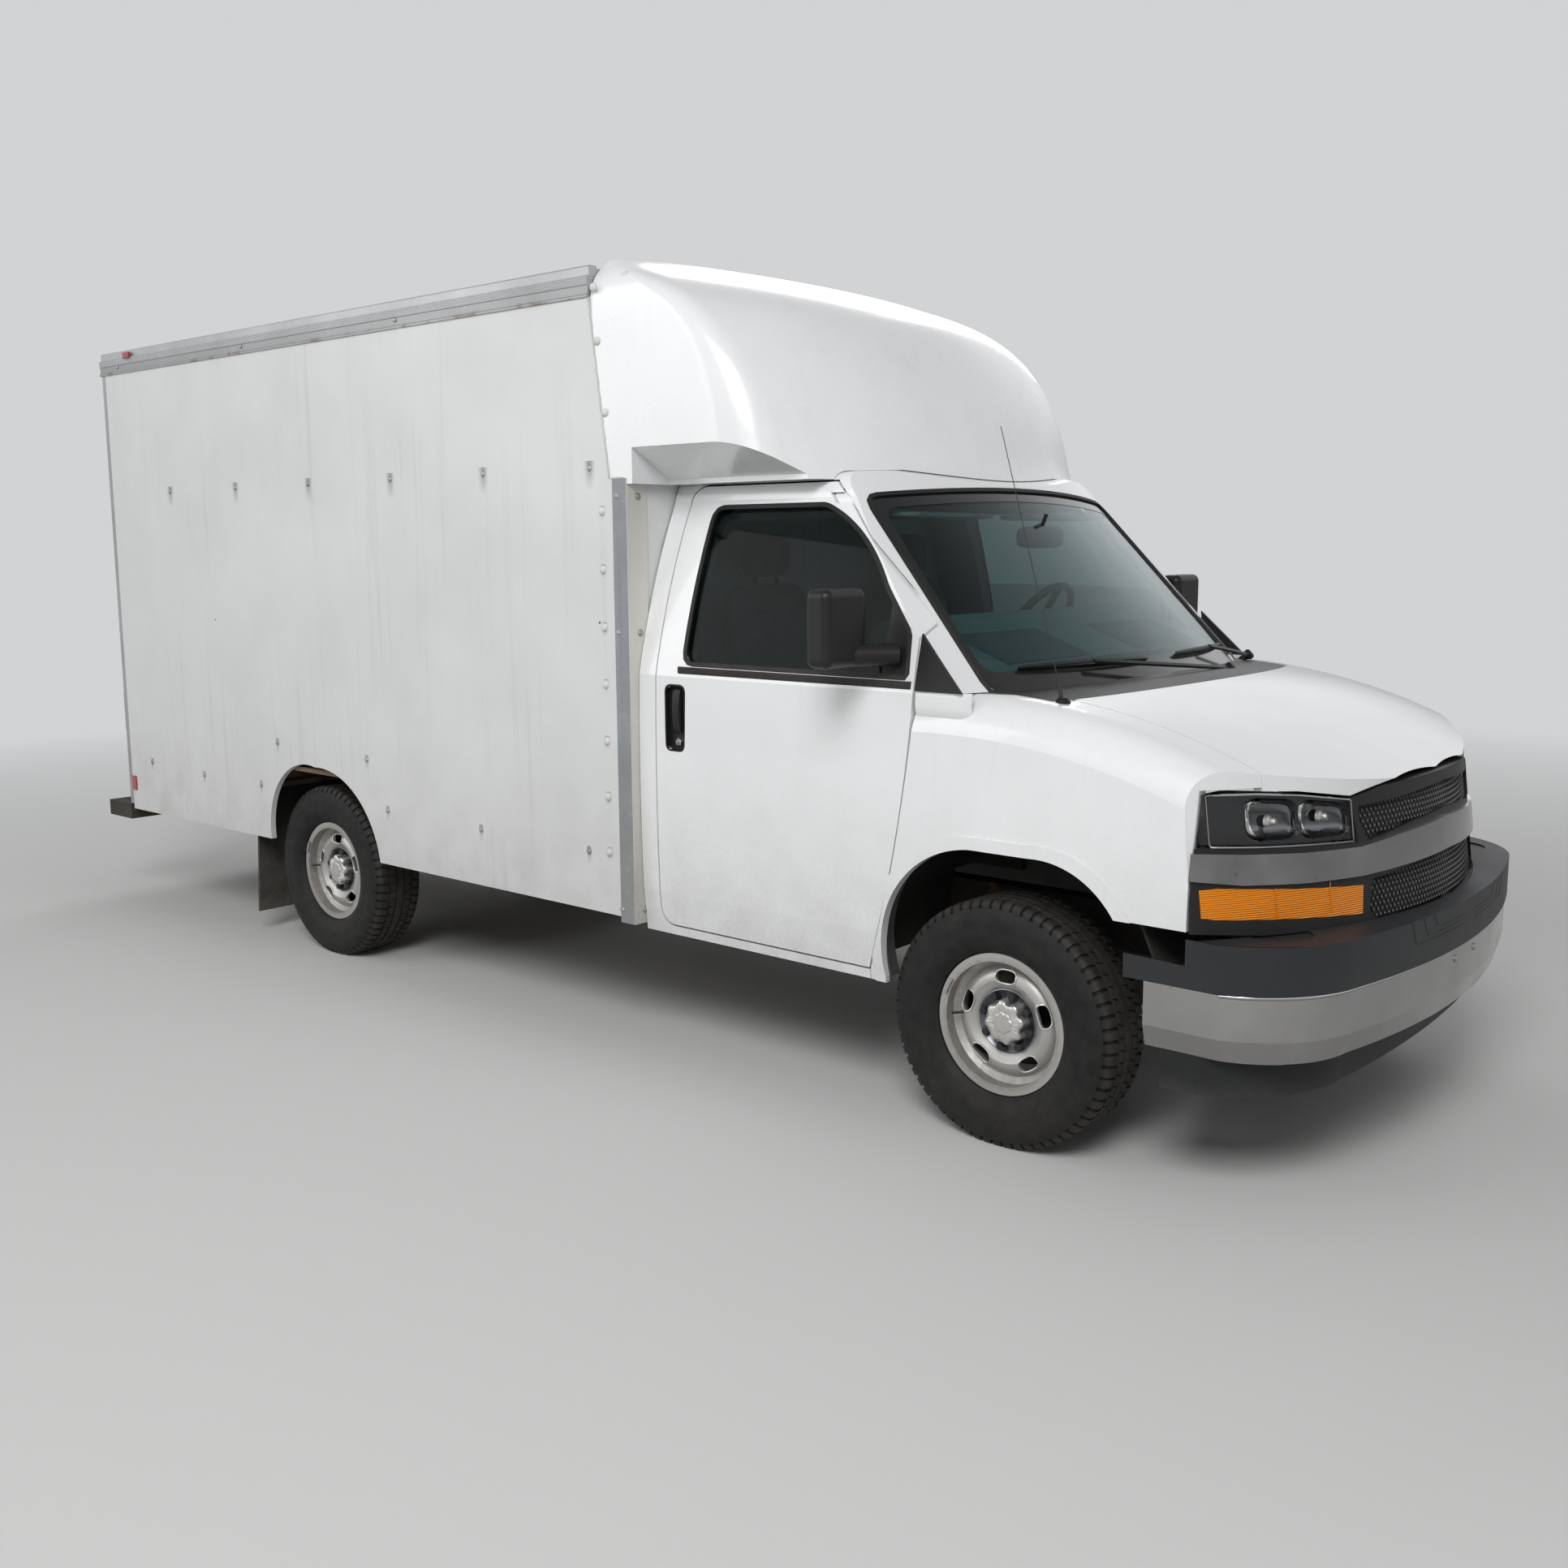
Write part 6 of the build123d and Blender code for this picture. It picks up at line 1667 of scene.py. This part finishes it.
class TRUCK_OT_rear_fittings(bpy.types.Operator):
    """Build the rear door's latch, rivets, pull strap and seal"""
    bl_idname = "truck.rear_fittings"
    bl_label = "Rear fittings"

    def execute(self, context):
        face = BOX_REAR + 0.004
        plate = block_shape(at(face - 0.004, 0.0, 0.905), (0.010, 0.34, 0.16), (0.2, 0.25))
        bow = 0.018 * np.sin(np.linspace(0, pi, 16)) ** 0.5
        bar = swept(round_profile(0.010, 12), at(face - 0.012 - bow, np.linspace(-0.12, 0.12, 16), 0.925),
                    (0, 0, 1))
        catch = block_shape(at(face - 0.010, 0.0, 0.862), (0.020, 0.09, 0.045), (0.35, 0.35))
        add_piece("rear_latch", joined([plate, bar, catch]), "bolt_zinc")
        slats, door_low, door_high = 7, 0.790, 2.560
        height = (door_high - door_low - 0.004) / slats
        hinge = 0.450 * np.arange(-2, 3)[:, None] + np.array([-0.025, 0.025])
        level = np.arange(slats)[:, None] + np.array([0.12, 0.88])
        y, level = np.meshgrid(hinge.ravel(), door_low + 0.002 + height * level.ravel())
        rivets = copies(dome(0.006, 0.003, 10), at(face, y.ravel(), level.ravel()), FACING_BACK)
        add_piece("rear_rivets", rivets, "bolt_zinc")
        sway = 0.30 + 0.004 * np.sin(np.linspace(0, 7, 20))
        path = at(face - 0.006, sway, np.linspace(1.03, 0.74, 20))
        strap = swept(flat_profile(0.030, 0.002), path, (-1, 0, 0))
        add_piece("pull_strap", strap, "seal_rubber")
        seal = np.array([(-0.972, 0.800), (-0.972, 2.552), (0.972, 2.552), (0.972, 0.800)])
        line = even(seal, 80)
        edge = swept(flat_profile(0.010, 0.012, -0.004), at(face - 0.008, line[:, 0], line[:, 1]), (-1, 0, 0))
        add_piece("rear_door_seal", edge, "seal_rubber")
        return {"FINISHED"}


# The camera's place from the front axle, its yaw, pitch and roll in degrees, and its shift, all found
# from the photograph
CAMERA_PLACE = (2.3767, -4.7247, 1.8252)
CAMERA_TURN = (130.537, -8.177, -0.347)
CAMERA_SHIFT = (-0.0001, -0.0136)
SENSOR_WIDTH = 36.0
FLOOR_HALF = 60.0


class TRUCK_OT_stage(bpy.types.Operator):
    """Set the floor, the soft lamps, the background and the camera"""
    bl_idname = "truck.stage"
    bl_label = "Stage"

    def execute(self, context):
        stage = settings("stage")
        scene = context.scene
        scene.view_settings.view_transform = "Standard"
        self.floor(stage)
        self.background(scene, stage)
        for name, share, size, place, target in (
            ("Key", 1.0, 4.0, (3.0, -7.5, 7.5), (-1.5, 0.0, 1.2)),
            ("Side fill", 0.25, 6.0, (-7.0, -7.0, 4.0), (-2.0, 0.0, 1.2)),
            ("Far rim", 0.4, 5.0, (-7.0, 8.0, 6.5), (-1.5, 0.0, 1.5)),
        ):
            self.lamp(name, stage.key * share, size, at(*place), at(*target))
        self.camera(scene, stage)
        return {"FINISHED"}

    @staticmethod
    def floor(stage):
        """A plain pale floor that keeps the shadow and shows the background to the camera far off."""
        skin = Skin("Pale floor")
        share = skin.remap(skin.noise(skin.vector, 3.0, 5.0), 0.3, 0.7, 0.0, 0.04)
        skin.put({"Base Color": skin.mix(share, stage.floor, shade(stage.floor, 0.9)), "Roughness": 0.9,
                  "Specular IOR Level": 0.1})
        plain_light = skin.signal("ShaderNodeEmission", 0, {"Color": rgba(stage.back), "Strength": 1.0})
        x, y, _ = skin.axes(skin.vector)
        away = x - (AXLE_X - 2.0)
        away = (away * away + y * y).root()
        seen = skin.signal("ShaderNodeLightPath", "Is Camera Ray")
        floor_look = skin.veil(skin.remap(away, 4.0, 11.0) * seen, plain_light)
        grid = np.linspace(-FLOOR_HALF, FLOOR_HALF, 3)
        x, y = np.meshgrid(grid, grid, indexing="ij")
        points, faces = sheet_shape(np.stack([x, y, np.zeros_like(x)], -1))
        mesh = bpy.data.meshes.new("floor")
        mesh.from_pydata(points.tolist(), [], faces[0].tolist())
        mesh.materials.append(floor_look)
        mesh.update()
        floor = bpy.data.objects.new("floor", mesh)
        bpy.context.scene.collection.objects.link(floor)

    @staticmethod
    def background(scene, stage):
        """Even light on the object; behind it a plain colour for the camera and through glass, and for
        gloss a sky that is pale over a darker ground and darker again overhead."""
        world = bpy.data.worlds.new("Plain light")
        world.use_nodes = True
        scene.world = world
        graph = Graph(world.node_tree)
        graph.tree.nodes.clear()
        light = graph.signal("ShaderNodeBackground", 0, {"Color": (1, 1, 1, 1), "Strength": stage.fill})
        rays = graph.add("ShaderNodeLightPath").outputs
        camera, through, glossy = (Signal(graph, rays[f"Is {kind} Ray"])
                                   for kind in ("Camera", "Transmission", "Glossy"))
        height = graph.axes(graph.signal("ShaderNodeTexCoord", "Generated"))[2]
        sky = graph.mix(graph.remap(height, 0.02, 0.22), shade(stage.back, 0.6), (0.95, 0.96, 0.98))
        sky = graph.mix(graph.remap(height, 0.40, 0.80), sky, shade(stage.back, 0.4))
        behind = graph.signal("ShaderNodeBackground", 0,
                              {"Color": graph.mix(glossy, stage.back, sky), "Strength": 1.0})
        seen = camera.most(through).most(glossy)
        mixed = graph.signal("ShaderNodeMixShader", 0, {0: seen, 1: light, 2: behind})
        graph.add("ShaderNodeOutputWorld", {"Surface": mixed})

    @staticmethod
    def lamp(name, power, size, place, target):
        """A large soft lamp that faces a point of the truck."""
        data = bpy.data.lights.new(name, "AREA")
        data.energy = power
        data.size = size
        lamp = bpy.data.objects.new(name, data)
        lamp.visible_transmission = False
        lamp.location = place
        lamp.rotation_euler = (Vector(target) - Vector(place)).to_track_quat("-Z", "Y").to_euler()
        bpy.context.scene.collection.objects.link(lamp)

    @staticmethod
    def camera(scene, stage):
        """The camera where the photograph was taken from."""
        yaw, pitch, roll = (radians(angle) for angle in CAMERA_TURN)
        ahead = Vector((cos(pitch) * cos(yaw), cos(pitch) * sin(yaw), sin(pitch)))
        right = ahead.cross(Vector((0, 0, 1))).normalized()
        up = right.cross(ahead)
        right, up = cos(roll) * right + sin(roll) * up, cos(roll) * up - sin(roll) * right
        data = bpy.data.cameras.new("Camera")
        data.sensor_width = SENSOR_WIDTH
        data.lens = stage.lens
        data.shift_x, data.shift_y = CAMERA_SHIFT
        data.clip_end = 200.0
        camera = bpy.data.objects.new("Camera", data)
        turn = Matrix((right, up, -ahead)).transposed().to_4x4()
        camera.matrix_world = Matrix.Translation(at(*CAMERA_PLACE)) @ turn
        scene.collection.objects.link(camera)
        scene.camera = camera


class TRUCK_PT_looks(bpy.types.Panel):
    """Settings and steps of the truck's looks"""
    bl_idname = "TRUCK_PT_looks"
    bl_label = "Box truck looks"
    bl_space_type = "VIEW_3D"
    bl_region_type = "UI"
    bl_category = "Truck"

    def draw(self, context):
        for name, group in GROUPS.items():
            column = self.layout.column(align=True)
            for key in group.__annotations__:
                column.prop(settings(name), key)
        for step in STEPS:
            self.layout.operator(step.bl_idname)


GROUPS = {"paint": PaintSettings, "wear": WearSettings, "sizes": SizeSettings, "stage": StageSettings}
STEPS = (
    TRUCK_OT_finishes, TRUCK_OT_tyres, TRUCK_OT_wheel_trim, TRUCK_OT_headlamps, TRUCK_OT_grille_cells,
    TRUCK_OT_bumper_trim, TRUCK_OT_glazing_trim, TRUCK_OT_wipers, TRUCK_OT_cab_outside, TRUCK_OT_seats,
    TRUCK_OT_cab_inside, TRUCK_OT_box_fasteners, TRUCK_OT_box_sealant, TRUCK_OT_box_markers,
    TRUCK_OT_rear_fittings, TRUCK_OT_stage,
)


def register():
    """Make the settings, steps and panel known to Blender."""
    for item in (*GROUPS.values(), *STEPS, TRUCK_PT_looks):
        bpy.utils.register_class(item)
    for name, group in GROUPS.items():
        setattr(bpy.types.Scene, "truck_" + name, PointerProperty(type=group))


def unregister():
    """Take the settings, steps and panel out again."""
    for name in GROUPS:
        delattr(bpy.types.Scene, "truck_" + name)
    for item in reversed((*GROUPS.values(), *STEPS, TRUCK_PT_looks)):
        bpy.utils.unregister_class(item)


def main():
    """Run every step in order."""
    register()
    for step in STEPS:
        category, name = step.bl_idname.split(".")
        getattr(getattr(bpy.ops, category), name)()


if __name__ == "__main__":
    main()
